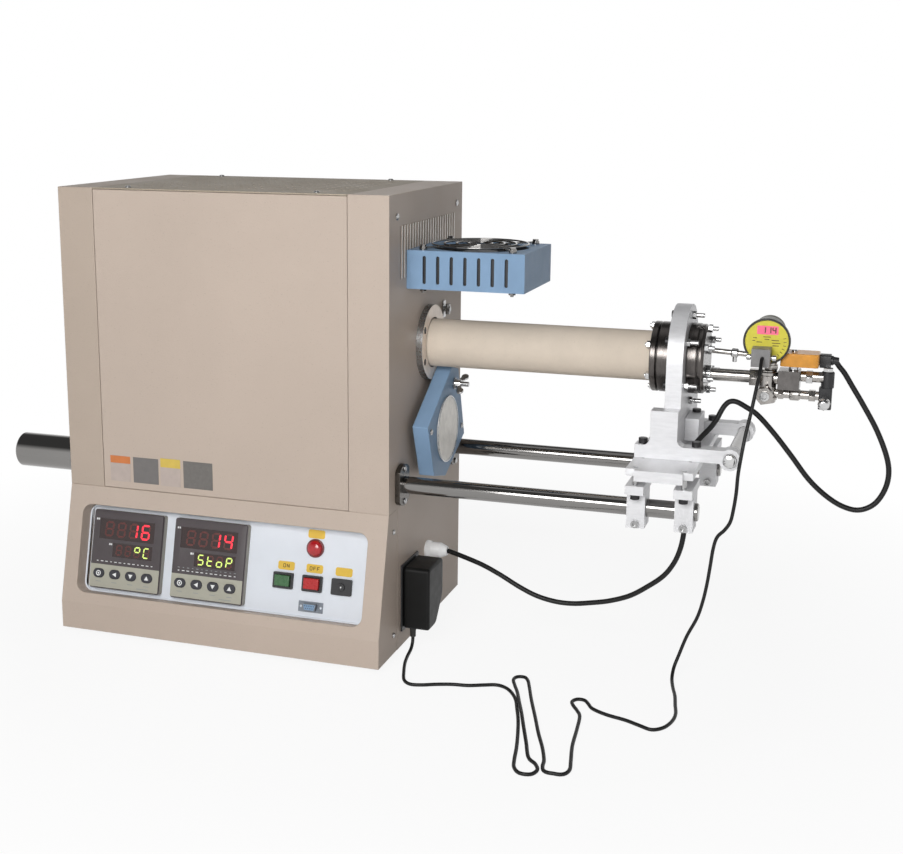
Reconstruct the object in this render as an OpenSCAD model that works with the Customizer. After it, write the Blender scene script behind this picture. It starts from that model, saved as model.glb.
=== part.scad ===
// Sliding-tube furnace: a heated cabinet, and a carriage that draws the closed
// work tube out of the hot chamber along two guide rods.

/* [Cabinet] */
// Width of the cabinet
cab_w = 415; // [400:1:430]
// Depth of the cabinet
cab_d = 275; // [265:1:300]
// Height of the base unit
base_h = 174; // [170:1:185]
// Height of the furnace shell above the base
shell_h = 362; // [345:1:380]
// Height of the upright lip at the foot of the base front
lip_h = 34; // [25:1:42]
// How far the foot of the base front stands forward
toe = 35; // [25:1:45]
// Thickness of the sheet steel
sheet = 1.5; // [1:0.1:2]
// Width of the fixed strip left of the front door
strip_w = 46; // [40:1:55]
// Width of the front door and of the top grille
door_w = 320; // [300:1:325]
// Gap between neighbouring panels
seam = 0.5; // [0.3:0.1:1]
// Depth of the side strip that the base front wraps round
wrap_d = 29; // [22:1:34]
// Diameter of a rubber foot
foot_d = 30; // [20:1:36]
// Height of a rubber foot
foot_h = 8; // [5:1:12]
// Diameter of the holes in the top grille
grille_hole = 5; // [3:0.5:6]
// Distance between the holes in the top grille
grille_pitch = 17; // [14:1:24]
// Number of cooling slits in the right wall
slit_count = 22; // [12:1:26]
// Width of a cooling slit
slit_w = 4; // [3:0.5:4.5]

/* [Control panel] */
// Width of the window in the sloped front
window_w = 373; // [366:1:378]
// Height of the window along the slope
window_h = 108; // [104:1:112]
// Distance of the window below the top edge of the slope
window_top = 23; // [20:1:25]
// Corner radius of the window
window_r = 12; // [6:1:20]
// Depth of the panel behind the slope
panel_depth = 20; // [14:1:26]
// Side of a temperature controller's square bezel
ctl_size = 96; // [90:1:98]
// How far a controller's bezel stands out of the panel
ctl_proud = 10; // [6:1:13]
// Width of a controller key
key_w = 15; // [12:0.5:17]
// Height of a controller key
key_h = 11; // [8:0.5:12]
// Travel of a controller key
key_travel = 0.6; // [0.3:0.1:0.8]
// Width of a switch body on the panel
switch_w = 25; // [22:0.5:28]
// Height of a switch body on the panel
switch_h = 19; // [16:0.5:21]
// How far a switch stands out of the panel
switch_proud = 4; // [3:0.5:6]
// Travel of a push button
button_travel = 3; // [2:0.5:3.5]
// Diameter of the alarm lamp
lamp_d = 20; // [16:0.5:24]

/* [Work tube and chamber] */
// Outer diameter of the work tube
tube_d = 57; // [54:0.5:58]
// Bore of the work tube
tube_bore = 50; // [44:0.5:51]
// Length of the work tube
tube_len = 560; // [540:1:570]
// Height of the tube's axis above the foot of the base
tube_z = 353; // [350:1:356]
// Diameter of the heated chamber
chamber_d = 110; // [104:1:114]
// Length of the heated chamber
chamber_len = 230; // [210:1:240]
// Diameter of a heating element
element_d = 8; // [6:0.5:10]
// Outer diameter of the port ring
ring_d = 90; // [84:1:92]
// Thickness of the port ring
ring_t = 8; // [6:0.5:8]
// Gap between the tube and the port ring all round
port_gap = 1.5; // [1:0.1:2.5]

/* [Guide rods] */
// Diameter of a guide rod
rod_d = 20; // [18:0.5:22]
// Distance between the two guide rods
rod_pitch = 200; // [196:1:202]
// Height of the guide rods above the foot of the base
rod_z = 201.5; // [200:0.5:204]
// Radial play of a rod in its bushing
rod_play = 0.05; // [0.01:0.01:0.1]
// Outer diameter of a bushing barrel
bushing_d = 28; // [26:0.5:30]
// Height of the oval bushing flange
flange_h = 49; // [46:1:52]
// Width of the oval bushing flange
flange_w = 34; // [32:1:36]
// Thickness of the bushing flange
bushing_t = 6; // [4:0.5:7]
// Outer diameter of the rod-end sleeves
sleeve_d = 42.4; // [38:0.1:46]
// Length of the rod-end sleeves
sleeve_len = 91; // [85:1:110]

/* [Carriage] */
// Left face of the carriage
carriage_x = 682; // [678:1:690]
// Length of a rod clamp along the rod
clamp_l = 20; // [18:1:22]
// Distance between the two clamps on one rod
clamp_pitch = 52; // [48:1:54]
// Height of the rod axis below the clamp's foot
clamp_h = 31; // [29:0.5:33]
// Overall height of a rod clamp
clamp_full_h = 51; // [49:0.5:54]
// Width of a rod clamp's foot
clamp_foot_w = 60; // [58:1:64]
// Thickness of a rod clamp's foot
clamp_foot_t = 10; // [8:0.5:11]
// Width of a rod clamp's body
clamp_body_w = 30; // [28:1:34]
// Gap between the clamps and the carriage plate
plate_gap = 11.5; // [10:0.5:13]
// Thickness of the carriage plate
plate_t = 8; // [6:0.5:10]
// Thickness of the arch plate and the side frames
arch_t = 18; // [15:0.5:20]
// Radius of the arch
arch_r = 61; // [59:0.5:63]
// Height of a side frame's bar
bar_h = 15; // [13:0.5:17]
// Width of a side frame's post
post_w = 30; // [28:0.5:32]
// Height of a side frame's post above the carriage plate
post_h = 54; // [48:1:58]
// Diameter of the handle bar
handle_d = 14; // [12:0.5:16]
// Distance from the carriage's left face to the handle bar
handle_x = 104; // [98:1:108]

/* [Vacuum end] */
// Diameter of the vacuum flange
flange_d = 80; // [79:0.5:81]
// Radius of the circle of flange studs
stud_r = 34.8; // [34.6:0.1:35.2]
// Diameter of a flange stud
stud_d = 5; // [4:0.5:5.5]
// Diameter of the vacuum pipe
pipe_d = 14; // [12:0.5:15]
// How far the vacuum pipe lies below the tube's axis
pipe_drop = 17; // [15:0.5:18]
// Diameter of the gauge
gauge_d = 51; // [46:0.5:54]
// Depth of the gauge
gauge_t = 40; // [34:1:44]

/* [Fan and shutter] */
// Length of the fan box away from the wall
fan_l = 138; // [134:1:144]
// Width of the fan box
fan_w = 125; // [123:1:132]
// Height of the fan box
fan_h = 44; // [42:1:48]
// Height of the fan box's foot above the tube's axis
fan_rise = 74; // [70:1:80]
// Side of the fan's square frame
fan_size = 119; // [116:1:120]
// Thickness of the fan's frame
fan_t = 38; // [34:1:38]
// Number of fan blades
blade_count = 7; // [5:1:9]
// Thickness of the shutter
shutter_t = 19; // [15:0.5:20]
// Distance from the shutter's pivot to its disc, and to the tube's axis
swing_r = 57.5; // [56:0.5:59]
// How far the shutter hangs off the upright, in degrees
hang_angle = 22; // [20:0.5:24]
// Diameter of the shutter's disc
disc_d = 82; // [76:1:84]
// Diameter of the shutter's pivot stud
pivot_d = 6; // [5:0.5:7]

/* [Hidden] */
$fn = 48;

// Clearances
eps = 0.01;
fit = 0.3;
cut = 4;

// Cabinet
top_z = base_h + shell_h;
mid_d = cab_d / 2;
tube_y = mid_d;
rod_y = [mid_d - rod_pitch / 2, mid_d + rod_pitch / 2];
slope_a = atan(toe / (base_h - lip_h));
door_x = strip_w;
right_x = strip_w + door_w;
lip = 12;
deck_t = 1.5;

// Panel
panel_t = 1.5;
window_x = (cab_w - window_w) / 2 - 2;
panel_margin = 8;
ctl_x = [window_x + 10.5, window_x + 121.5];
ctl_v = window_top + (window_h - ctl_size) / 2;
ctl_body = ctl_size - 5;
ctl_body_l = 80;
key_x = [13, 35, 57, 79];
key_v = 77.5;
pv_window = [9.5, 10, 75, 25];
sv_window = [29.5, 39, 54, 17];
column_x = [284, 321, 358];
switch_v = 89.5;
lamp_v = 48;
port_v = 117;
switch_well = 4;
cap_inset = 3;
lock_d = 9;

// Cable gland, mains gland and the adapter's socket
gland_y = 140;
gland_z = 92;
gland_d = 19;
gland_thread = 16;
gland_l = 27;
mains_x = 330;
mains_z = 60;
adapter = [417, 44, 22, 31, 55, 76];
adapter_exit = [427, 52];

// Tube and chamber
tube_x = 705 - tube_len;
tube_r = tube_d / 2;
chamber_x = 95;
block = [30, 20, 224, 350, cab_d - 40, 276];
port_d = tube_d + 2 * port_gap;

// Rods
rod_x0 = 6 - sleeve_len;
rod_x1 = carriage_x + clamp_l + clamp_pitch + 4;
bearing_x = 225;
bearing_l = 30;

// Carriage
plate_x1 = carriage_x + clamp_pitch + clamp_l;
clamp_x = [carriage_x, carriage_x + clamp_pitch];
clamp_top = rod_z + clamp_h;
plate_z = clamp_top + plate_gap;
plate_top = plate_z + plate_t;
plate_y0 = rod_y[0] - clamp_foot_w / 2;
plate_y1 = rod_y[1] + clamp_foot_w / 2;
bolt_pitch = 45;
bolt_d = 6;
head_d = 10;
head_h = 6;
arch_x = carriage_x + 28.5;
frame_y = [tube_y - arch_r - arch_t, tube_y + arch_r];
post_x = arch_x + arch_t - post_w;
handle_z = plate_top + 5;
bar_x = carriage_x + handle_x;
cable_hole = [738, 104, 12];
clamp_screw_z = rod_z + clamp_h - clamp_full_h + 5.4;
end_bar_t = 6.5;
neck_r = 34;
outer_r = 49;

// Vacuum end
flange_x = arch_x - 29;
cover_x = arch_x + arch_t;
cover_t = 19;
cover_x1 = cover_x + cover_t;
pipe_z = tube_z - pipe_drop;
gauge_x = 813;
gauge_z = 380;
gauge_y = tube_y - gauge_t / 2;
valve_x = 804;

// Fan
fan_x = cab_w;
fan_y = tube_y - fan_w / 2 - 16;
fan_z = tube_z + fan_rise;
fan_cx = fan_x + fan_l / 2;
fan_cy = fan_y + fan_w / 2;
fan_hole = 105;
fan_bore = fan_size - 6;
hub_d = 40;
fan_z0 = fan_z + fan_h - sheet - fan_t;

// Shutter
pivot_y = tube_y + swing_r * sin(hang_angle);
pivot_z = tube_z - swing_r * cos(hang_angle);
shutter_x = cab_w + ring_t + 0.5;

// Overall size, without the cords
knob_x = 871;
x_min = -sleeve_len;
x_max = knob_x + 15;
y_min = -toe;
y_max = cab_d + 20;
mid_x = (x_min + x_max) / 2;
mid_y = (y_min + y_max) / 2;

// Routes of the cords, by their centre lines
coil_cable_d = 6;
coil_cable_route = [[443, 140, 92], [452, 137, 91], [470, 132, 88], [492, 127, 83], [515, 122, 75],
    [540, 118, 64], [562, 116, 56], [585, 115, 52], [606, 115, 52], [628, 114, 56], [651, 112, 62],
    [675, 110, 72], [696, 107, 87], [713, 104, 102], [724, 101, 118], [731, 98, 135],
    [735, 97, 155], [736, 99, 180], [737, 102, 210], [738, 104, 236], [739, 104, 250],
    [742, 107, 260], [748, 113, 268], [756, 121, 277], [762, 127, 286], [766, 131, 295],
    [770, 134, 302], [775, 136, 306], [782, 137, 306], [792, 138, 301], [806, 139, 292],
    [825, 140, 272], [845, 140, 248], [865, 140, 223], [884, 140, 206], [903, 140, 195],
    [921, 140, 192], [937, 141, 200], [947, 142, 217], [950, 143, 236], [946, 144, 256],
    [934, 147, 283], [918, 148, 310], [905, 149, 330], [896, 149, 344], [890, 149, 351],
    [886, 149, 356], [881, 149, 357.5]];
lead_d = 4;
lead_supply = [[427, 52, 10], [427, 51, 4], [427, 46, -2], [427, 38, -5], [428, 28, -6],
    [432, 8, -6], [439, -16, -6], [447, -38, -6], [457, -47, -6], [470, -45, -6], [485, -38, -6],
    [502, -32, -6], [520, -29, -6], [536, -22, -6], [549, -17, -6], [560, -20, -6],
    [570, -30, -6], [580, -48, -6], [588, -72, -6], [596, -98, -6], [604, -130, -6],
    [611, -162, -6], [616, -190, -6], [620, -206, -6], [628, -216, -6], [639, -215, -6],
    [643, -204, -6], [638, -192, -6], [628, -180, -6], [618, -150, -5], [607, -118, -3],
    [597, -88, -2], [588, -62, -3], [578, -32, -5], [569, -10, -6], [564, 4, -6], [566, 13, -6],
    [574, 15, -6], [580, 7, -6], [586, -10, -6], [597, -44, -6], [611, -84, -6],
    [624, -122, -6], [636, -154, -6], [644, -180, -6], [646, -194, -6], [649, -203, -6],
    [654, -206, -6], [660, -206, -6]];
lead_rise = [[660, -206, -6], [666, -206, -6], [671, -202, -6], [673, -192, -6], [670, -174, -6],
    [664, -140, -6], [660, -100, -6], [656, -68, -6], [650, -54, -6], [643, -42, -6],
    [640, -33, -6], [644, -25, -6], [652, -25, -6], [658, -33, -6], [665, -44, -6],
    [682, -54, -6], [704, -61, -6], [720, -69, -6], [734, -75, -6], [745, -66, -6],
    [751, -48, -6], [752, -28, -6], [748, -4, -6], [744, 20, -6], [738, 44, -6], [734, 64, -4],
    [734, 77, 4], [738, 82, 17], [746, 82, 41], [757, 79, 66], [763, 75, 88], [767, 71, 110],
    [770, 66, 132], [773, 60, 155], [777, 56, 170], [785, 53, 180], [791, 50, 191],
    [794, 47, 207], [796, 45, 225], [797, 43, 245], [799, 43, 264], [802, 48, 288],
    [806, 58, 314], [809, 68, 337], [811, 77, 353], [811, 85, 361.5], [811, 90, 364], [811, 95.45, 364.5]];

// Helpers

// Moves everything from the cabinet's corner to the part's own origin
module place() {
    translate([-mid_x, -mid_y, foot_h]) children();
}

// Cylinder along +X from x, at y and z
module along_x(x, y, z, d, l, n = 48) {
    translate([x, y, z]) rotate([0, 90, 0]) cylinder(d = d, h = l, $fn = n);
}

// Cylinder along +Y from y, at x and z
module along_y(x, y, z, d, l, n = 48) {
    translate([x, y, z]) rotate([-90, 0, 0]) cylinder(d = d, h = l, $fn = n);
}

// Cylinder along +Z from z, at x and y
module along_z(x, y, z, d, l, n = 48) {
    translate([x, y, z]) cylinder(d = d, h = l, $fn = n);
}

// Plate standing across X: an outline in Y and Z, from x, t thick
module plate_x(x, t) {
    translate([x, 0, 0]) rotate([90, 0, 90]) linear_extrude(t) children();
}

// Frame of the sloped front: X to the right, Y up the slope, Z out of it
module on_slope(depth = 0) {
    translate([0, 0, base_h]) rotate([90 - slope_a, 0, 0]) translate([0, 0, -depth]) children();
}

// Rectangle with rounded corners, from its lower left corner
module round_rect(w, h, r) {
    translate([r, 0]) square([w - 2 * r, h]);
    translate([0, r]) square([w, h - 2 * r]);
    for (x = [r, w - r], y = [r, h - r]) translate([x, y]) circle(r);
}

// Slot with round ends about its centre
module stadium(w, h) {
    square([w - h, h], center = true);
    for (s = [-1, 1]) translate([s * (w - h) / 2, 0]) circle(d = h);
}

// Pan-head screw on a face, standing along +Z
module pan_head(d = 7) {
    cylinder(d = d, h = 1.2);
    translate([0, 0, 1.2]) cylinder(d1 = d, d2 = d * 0.6, h = 1);
}

// Hexagonal nut, standing along +Z
module hex_nut(af, h) {
    cylinder(d = af / cos(30), h = h, $fn = 6);
}

// Unit vector
function unit(v) = v / norm(v);

// Direction of a route at point i
function heading(p, i) =
    unit(p[min(i + 1, len(p) - 1)] - p[max(i - 1, 0)]);

// Side vector of each ring, carried along the route without twist
function sides(p, i = 0, s = undef) =
    let (h = heading(p, i),
         raw = is_undef(s) ? cross(h, [0.3, 0.2, 1]) : s - h * (s * h),
         n = unit(raw))
    i == len(p) - 1 ? [n] : concat([n], sides(p, i + 1, n));

// Closed tube along a route
module sweep(p, d, n = 8) {
    s = sides(p);
    pts = [for (i = [0 : len(p) - 1]) let (h = heading(p, i), u = s[i], v = cross(h, u))
        for (k = [0 : n - 1]) p[i] + d / 2 * (cos(360 * k / n) * u + sin(360 * k / n) * v)];
    skin = [for (i = [0 : len(p) - 2], k = [0 : n - 1])
        [i * n + k, (i + 1) * n + k, (i + 1) * n + (k + 1) % n, i * n + (k + 1) % n]];
    first = [for (k = [0 : n - 1]) k];
    last = [for (k = [n - 1 : -1 : 0]) (len(p) - 1) * n + k];
    polyhedron(points = pts, faces = concat(skin, [first, last]));
}

// Base

// Side outline of the base front, drawn in by t
module front_outline(t) {
    s = tan(slope_a / 2) * t;
    polygon([[wrap_d + (t > 0 ? cut : 0), -t * (cut / sheet)],
        [-toe + t, -t * (cut / sheet)],
        [-toe + t, lip_h - s],
        [t / cos(slope_a) - t * tan(slope_a), base_h - t],
        [wrap_d + (t > 0 ? cut : 0), base_h - t]]);
}

module base_front() {
    color("tan") place() {
        difference() {
            plate_x(0, cab_w) front_outline(0);
            plate_x(sheet, cab_w - 2 * sheet) front_outline(sheet);
            on_slope() translate([window_x, -window_top - window_h, -panel_depth - cut])
                linear_extrude(panel_depth + 2 * cut) round_rect(window_w, window_h, window_r);
        }
        on_slope(panel_depth) window_frame();
    }
}

// Flange turned inward round the window
module window_frame() {
    translate([window_x, -window_top - window_h, 0]) linear_extrude(panel_depth - sheet / 2)
        difference() {
            translate([-sheet, -sheet])
                round_rect(window_w + 2 * sheet, window_h + 2 * sheet, window_r + sheet);
            round_rect(window_w, window_h, window_r);
        }
}

// Floor, sides and back of the base, with the deck that carries the furnace
module base_tray() {
    wall_d = cab_d - wrap_d - seam;
    color("tan") place() difference() {
        union() {
            translate([sheet + fit, -toe + sheet + fit, 0])
                cube([cab_w - 2 * (sheet + fit), cab_d + toe - 2 * sheet, sheet]);
            for (x = [0, cab_w - sheet]) translate([x, wrap_d + seam, 0])
                cube([sheet, wall_d, base_h]);
            translate([0, wrap_d + seam, 0]) cube([cab_w, wall_d, sheet]);
            translate([0, cab_d - sheet, 0]) cube([cab_w, sheet, base_h]);
            translate([0, wrap_d + seam, base_h - sheet]) cube([cab_w, wall_d, sheet]);
            translate([sheet + fit, lip + fit, base_h])
                cube([cab_w - 2 * (sheet + fit), cab_d - 2 * (lip + fit), deck_t]);
            translate([lip, wrap_d + seam, base_h - sheet])
                cube([cab_w - 2 * lip, wall_d - lip - fit, sheet + deck_t]);
        }
        along_x(cab_w - cut, gland_y, gland_z, gland_thread + fit, 2 * cut);
        translate([cab_w - cut, adapter[1] + lip, adapter[2] + lip])
            cube([2 * cut, adapter[4] - 2 * lip, adapter[5] - 2 * lip]);
        for (i = [0 : 11]) translate([60 + i * 9, cab_d - cut, 50]) cube([slit_w, 2 * cut, 60]);
        along_y(mains_x, cab_d - cut, mains_z, gland_thread + fit, 2 * cut);
        for (x = [90, 200, 310]) along_z(x, mid_d, base_h - cut, 24, 2 * cut + deck_t);
    }
}

module rubber_feet() {
    color("dimgray") place()
        for (x = [50, cab_w - 50], y = [10, cab_d - 35]) difference() {
            translate([x, y, -foot_h]) cylinder(d1 = foot_d - 4, d2 = foot_d, h = foot_h);
            along_z(x, y, -foot_h - eps, 12, 3);
        }
}

module control_panel() {
    color("aliceblue") place() on_slope(panel_depth + panel_t) linear_extrude(panel_t)
        difference() {
            translate([window_x - panel_margin, -window_top - window_h - panel_margin])
                round_rect(window_w + 2 * panel_margin, window_h + 2 * panel_margin,
                    window_r + panel_margin);
            for (x = ctl_x) translate([x + (ctl_size - ctl_body) / 2 - fit,
                    -ctl_v - ctl_size + (ctl_size - ctl_body) / 2 - fit])
                square(ctl_body + 2 * fit);
            for (x = column_x) translate([x - switch_w / 2 + 2, -switch_v - switch_h / 2 + 2])
                square([switch_w - 4, switch_h - 4]);
            translate([column_x[1], -lamp_v]) circle(d = lamp_d - 4);
            translate([column_x[1], -port_v]) square([18, 9], center = true);
        }
}

// Temperature controller with its left edge at x: bezel, body, window and key recesses
module controller(x) {
    on_slope(panel_depth) difference() {
        union() {
            translate([x, -ctl_v - ctl_size, 0]) {
                linear_extrude(ctl_proud - 2) round_rect(ctl_size, ctl_size, 3);
                translate([1, 1, ctl_proud - 2]) linear_extrude(2)
                    round_rect(ctl_size - 2, ctl_size - 2, 2);
            }
            translate([x + (ctl_size - ctl_body) / 2, -ctl_v - ctl_size + (ctl_size - ctl_body) / 2,
                    -ctl_body_l])
                cube([ctl_body, ctl_body, ctl_body_l]);
        }
        for (w = [pv_window, sv_window]) translate([x + w[0], -ctl_v - w[1] - w[3], ctl_proud - 1.5])
            cube([w[2], w[3], cut]);
        for (k = key_x) translate([x + k, -ctl_v - key_v, ctl_proud - 2.5])
            linear_extrude(cut) stadium(key_w + 2 * fit, key_h + 2 * fit);
    }
}

module controller_left() {
    color("slategray") place() controller(ctl_x[0]);
}

module controller_right() {
    color("slategray") place() controller(ctl_x[1]);
}

module display_windows() {
    color([0.25, 0.05, 0.06]) place() on_slope(panel_depth)
        for (x = ctl_x, w = [pv_window, sv_window])
            translate([x + w[0], -ctl_v - w[1] - w[3], ctl_proud - 1.5]) cube([w[2], w[3], 1.2]);
}

// One key: an oval cap that stands proud of the bezel by more than its travel
module controller_key(x, i) {
    color("black") place() on_slope(panel_depth)
        translate([x + key_x[i], -ctl_v - key_v, ctl_proud - 2.5 + key_travel + fit])
            linear_extrude(2.5) stadium(key_w, key_h);
}

module left_key_set() {
    controller_key(ctl_x[0], 0);
}

module left_key_shift() {
    controller_key(ctl_x[0], 1);
}

module left_key_down() {
    controller_key(ctl_x[0], 2);
}

module left_key_up() {
    controller_key(ctl_x[0], 3);
}

module right_key_set() {
    controller_key(ctl_x[1], 0);
}

module right_key_shift() {
    controller_key(ctl_x[1], 1);
}

module right_key_down() {
    controller_key(ctl_x[1], 2);
}

module right_key_up() {
    controller_key(ctl_x[1], 3);
}

module switch_bodies() {
    hole = [switch_w - 2 * cap_inset + 2 * fit, switch_h - 2 * cap_inset + 2 * fit];
    color("black") place() on_slope(panel_depth)
        for (x = column_x) translate([x, -switch_v, 0]) difference() {
            union() {
                linear_extrude(switch_proud) translate([-switch_w / 2, -switch_h / 2])
                    round_rect(switch_w, switch_h, 1.5);
                translate([-switch_w / 2 + 2.3, -switch_h / 2 + 2.3, -24])
                    cube([switch_w - 4.6, switch_h - 4.6, 24 + eps]);
            }
            if (x != column_x[2]) translate([0, 0, -switch_well])
                linear_extrude(switch_well + switch_proud + cut) square(hole, center = true);
            if (x == column_x[2]) translate([0, 0, -8])
                cylinder(d = lock_d + 0.2, h = 8 + cut + switch_proud);
        }
}

module alarm_lamp() {
    color("red") place() on_slope(panel_depth) translate([column_x[1], -lamp_v, 0]) {
        cylinder(d = lamp_d, h = 2);
        translate([0, 0, 2]) cylinder(d = lamp_d - 2, h = 2);
        translate([0, 0, 4]) cylinder(d1 = lamp_d - 4, d2 = lamp_d - 9, h = 2.5);
        translate([0, 0, -22]) cylinder(d = lamp_d - 4.6, h = 22);
    }
}

// Push-button cap in the switch body of column i
module button_cap(i) {
    z = button_travel + fit - switch_well;
    translate([column_x[i], -switch_v, z])
        linear_extrude(switch_proud + button_travel + 0.5 - z)
            square([switch_w - 2 * cap_inset, switch_h - 2 * cap_inset], center = true);
}

module green_button() {
    color("seagreen") place() on_slope(panel_depth) button_cap(0);
}

module red_button() {
    color("crimson") place() on_slope(panel_depth) button_cap(1);
}

module lock_barrel() {
    color("silver") place() on_slope(panel_depth) translate([column_x[2], -switch_v, -8 + fit])
        difference() {
            cylinder(d = lock_d, h = 8 + switch_proud + 0.8);
            translate([-0.7, -3, 7 + switch_proud]) cube([1.4, 6, cut]);
        }
}

module serial_port() {
    color("lightsteelblue") place() on_slope(panel_depth) translate([column_x[1], -port_v, 0]) {
        difference() {
            translate([-15.5, -6.25, 0]) cube([31, 12.5, 0.8]);
            for (s = [-1, 1]) translate([s * 12.5, 0, -1]) cylinder(d = 3, h = 3);
        }
        difference() {
            linear_extrude(6) polygon([[-8.4, 4], [8.4, 4], [6.9, -4], [-6.9, -4]]);
            for (i = [0 : 4]) translate([-5.5 + i * 2.75, 1.4, 1]) cylinder(d = 1.1, h = 6);
            for (i = [0 : 3]) translate([-4.1 + i * 2.75, -1.4, 1]) cylinder(d = 1.1, h = 6);
        }
        translate([-8.5, -4, -12]) cube([17, 8, 12]);
    }
}

// Shell

// Folded side shell, closed at x and open towards the door
module side_shell(x, w, inner_x) {
    difference() {
        translate([x, 0, base_h]) cube([w, cab_d, shell_h]);
        translate([inner_x, sheet, base_h - sheet]) cube([w, cab_d - 2 * sheet, shell_h]);
    }
}

module shell_left() {
    color("tan") place() difference() {
        side_shell(0, strip_w, sheet);
        for (y = rod_y) along_x(-cut, y, rod_z, rod_d + 4, 3 * cut);
    }
}

module shell_right() {
    w = cab_w - right_x;
    slit_pitch = (cab_d - 2 * 40 + 3) / (slit_count - 1);
    color("tan") place() difference() {
        side_shell(right_x, w, right_x - sheet);
        along_x(cab_w - 2 * cut, tube_y, tube_z, port_d, 4 * cut);
        for (y = rod_y) along_x(cab_w - 2 * cut, y, rod_z, bushing_d, 4 * cut);
        along_x(cab_w - 2 * cut, pivot_y, pivot_z, pivot_d, 4 * cut);
        for (i = [0 : slit_count - 1])
            translate([cab_w - 2 * cut, 40 + i * slit_pitch - slit_w / 2, top_z - 96])
                cube([4 * cut, slit_w, 60]);
    }
}

module front_door() {
    w = door_w - 2 * seam;
    h = shell_h - sheet - 2 * seam;
    color("tan") place() difference() {
        translate([door_x + seam, 0, base_h + seam]) cube([w, lip, h]);
        translate([door_x + seam + sheet, sheet, base_h + seam + sheet])
            cube([w - 2 * sheet, lip, h - 2 * sheet]);
    }
}

module top_grille() {
    w = door_w - 2 * seam;
    nx = floor((w - 40) / grille_pitch);
    ny = floor((cab_d - 60) / grille_pitch);
    color("tan") place() translate([door_x + seam, 0, top_z - sheet]) linear_extrude(sheet)
        difference() {
            square([w, cab_d]);
            for (i = [0 : nx], j = [0 : ny])
                translate([w / 2 + (i - nx / 2) * grille_pitch, mid_d + (j - ny / 2) * grille_pitch])
                    circle(d = grille_hole, $fn = 16);
        }
}

module back_panel() {
    w = door_w - 2 * seam;
    h = shell_h - sheet - 2 * seam;
    color("tan") place() difference() {
        translate([door_x + seam, cab_d - lip, base_h + seam]) cube([w, lip, h]);
        translate([door_x + seam + sheet, cab_d - lip - sheet, base_h + seam + sheet])
            cube([w - 2 * sheet, lip, h - 2 * sheet]);
        for (i = [0 : 11]) translate([door_x + 60 + i * 17, cab_d - cut, top_z - 90])
            cube([slit_w, 2 * cut, 50]);
    }
}

// Insulation block: the chamber, the tube's passage, and sockets for what heats and senses
module insulation() {
    color("ivory") place() difference() {
        translate([block[0], block[1], block[2]]) cube([block[3], block[4], block[5]]);
        along_x(chamber_x, tube_y, tube_z, chamber_d, chamber_len, 96);
        along_x(chamber_x, tube_y, tube_z, port_d + 2, block[0] + block[3] - chamber_x + cut, 96);
        elements(10, 0);
        along_z(chamber_x + chamber_len / 2, tube_y, tube_z, 6, block[5]);
    }
}

// The four heating elements, with their ends set into the insulation
module elements(extra, gap) {
    r = chamber_d / 2 - element_d;
    for (a = [45 : 90 : 315])
        along_x(chamber_x - extra, tube_y + r * cos(a), tube_z + r * sin(a), element_d - gap,
            chamber_len + 2 * extra);
}

module heating_elements() {
    color("dimgray") place() elements(10, 0);
}

module thermocouple() {
    z = block[2] + block[5];
    color("gainsboro") place() {
        along_z(chamber_x + chamber_len / 2, tube_y, tube_z + tube_r + 12, 6, z - tube_z - tube_r - 12 + eps);
        along_z(chamber_x + chamber_len / 2, tube_y, z, 26, 14);
    }
}

// Transformer with its core, and the power regulator beside it, on the floor of the base
module power_pack() {
    color("darkslategray") place() {
        translate([60, 130, sheet]) cube([110, 90, 22]);
        translate([60, 130, sheet + 22]) cube([22, 90, 66]);
        translate([148, 130, sheet + 22]) cube([22, 90, 66]);
        translate([60, 130, sheet + 88]) cube([110, 90, 22]);
        translate([88, 122, sheet + 22]) cube([54, 106, 66]);
        translate([240, 150, sheet]) cube([70, 80, 8]);
        for (i = [0 : 6]) translate([240 + i * 11, 150, sheet + 8]) cube([4, 80, 30]);
        translate([240, 150, sheet + 38]) cube([70, 80, 30]);
    }
}

// Bushings in the right wall, inner bushings, and the bracket that carries these
module rod_bearings() {
    bore = rod_d + 2 * rod_play;
    color("silver") place() difference() {
        union() {
            for (y = rod_y) {
                along_x(cab_w - bearing_l, y, rod_z, bushing_d, bearing_l + eps);
                translate([cab_w, y, rod_z]) rotate([0, 90, 0]) linear_extrude(bushing_t)
                    intersection() {
                        circle(d = flange_h, $fn = 96);
                        square([flange_h + 1, flange_w], center = true);
                    }
                along_x(bearing_x, y, rod_z, bushing_d + 10, bearing_l);
                translate([bearing_x, y - (bushing_d + 10) / 2, base_h + deck_t])
                    cube([bearing_l, bushing_d + 10, rod_z - base_h - deck_t]);
            }
        }
        for (y = rod_y) {
            along_x(bearing_x - cut, y, rod_z, bore, cab_w);
            for (s = [-1, 1])
                along_x(cab_w + 2, y, rod_z + s * (flange_h / 2 - 5), 5.5, cut * 2);
        }
    }
}

module rod_sleeves() {
    color("gainsboro") place() for (y = rod_y) difference() {
        union() {
            along_x(-sleeve_len + 2, y, rod_z, sleeve_d, sleeve_len - 2, 64);
            translate([-sleeve_len, y, rod_z]) rotate([0, 90, 0])
                cylinder(d1 = sleeve_d - 4, d2 = sleeve_d, h = 2, $fn = 64);
        }
        along_x(-sleeve_len + 4, y, rod_z, rod_d + 4, sleeve_len, 64);
    }
}

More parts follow.
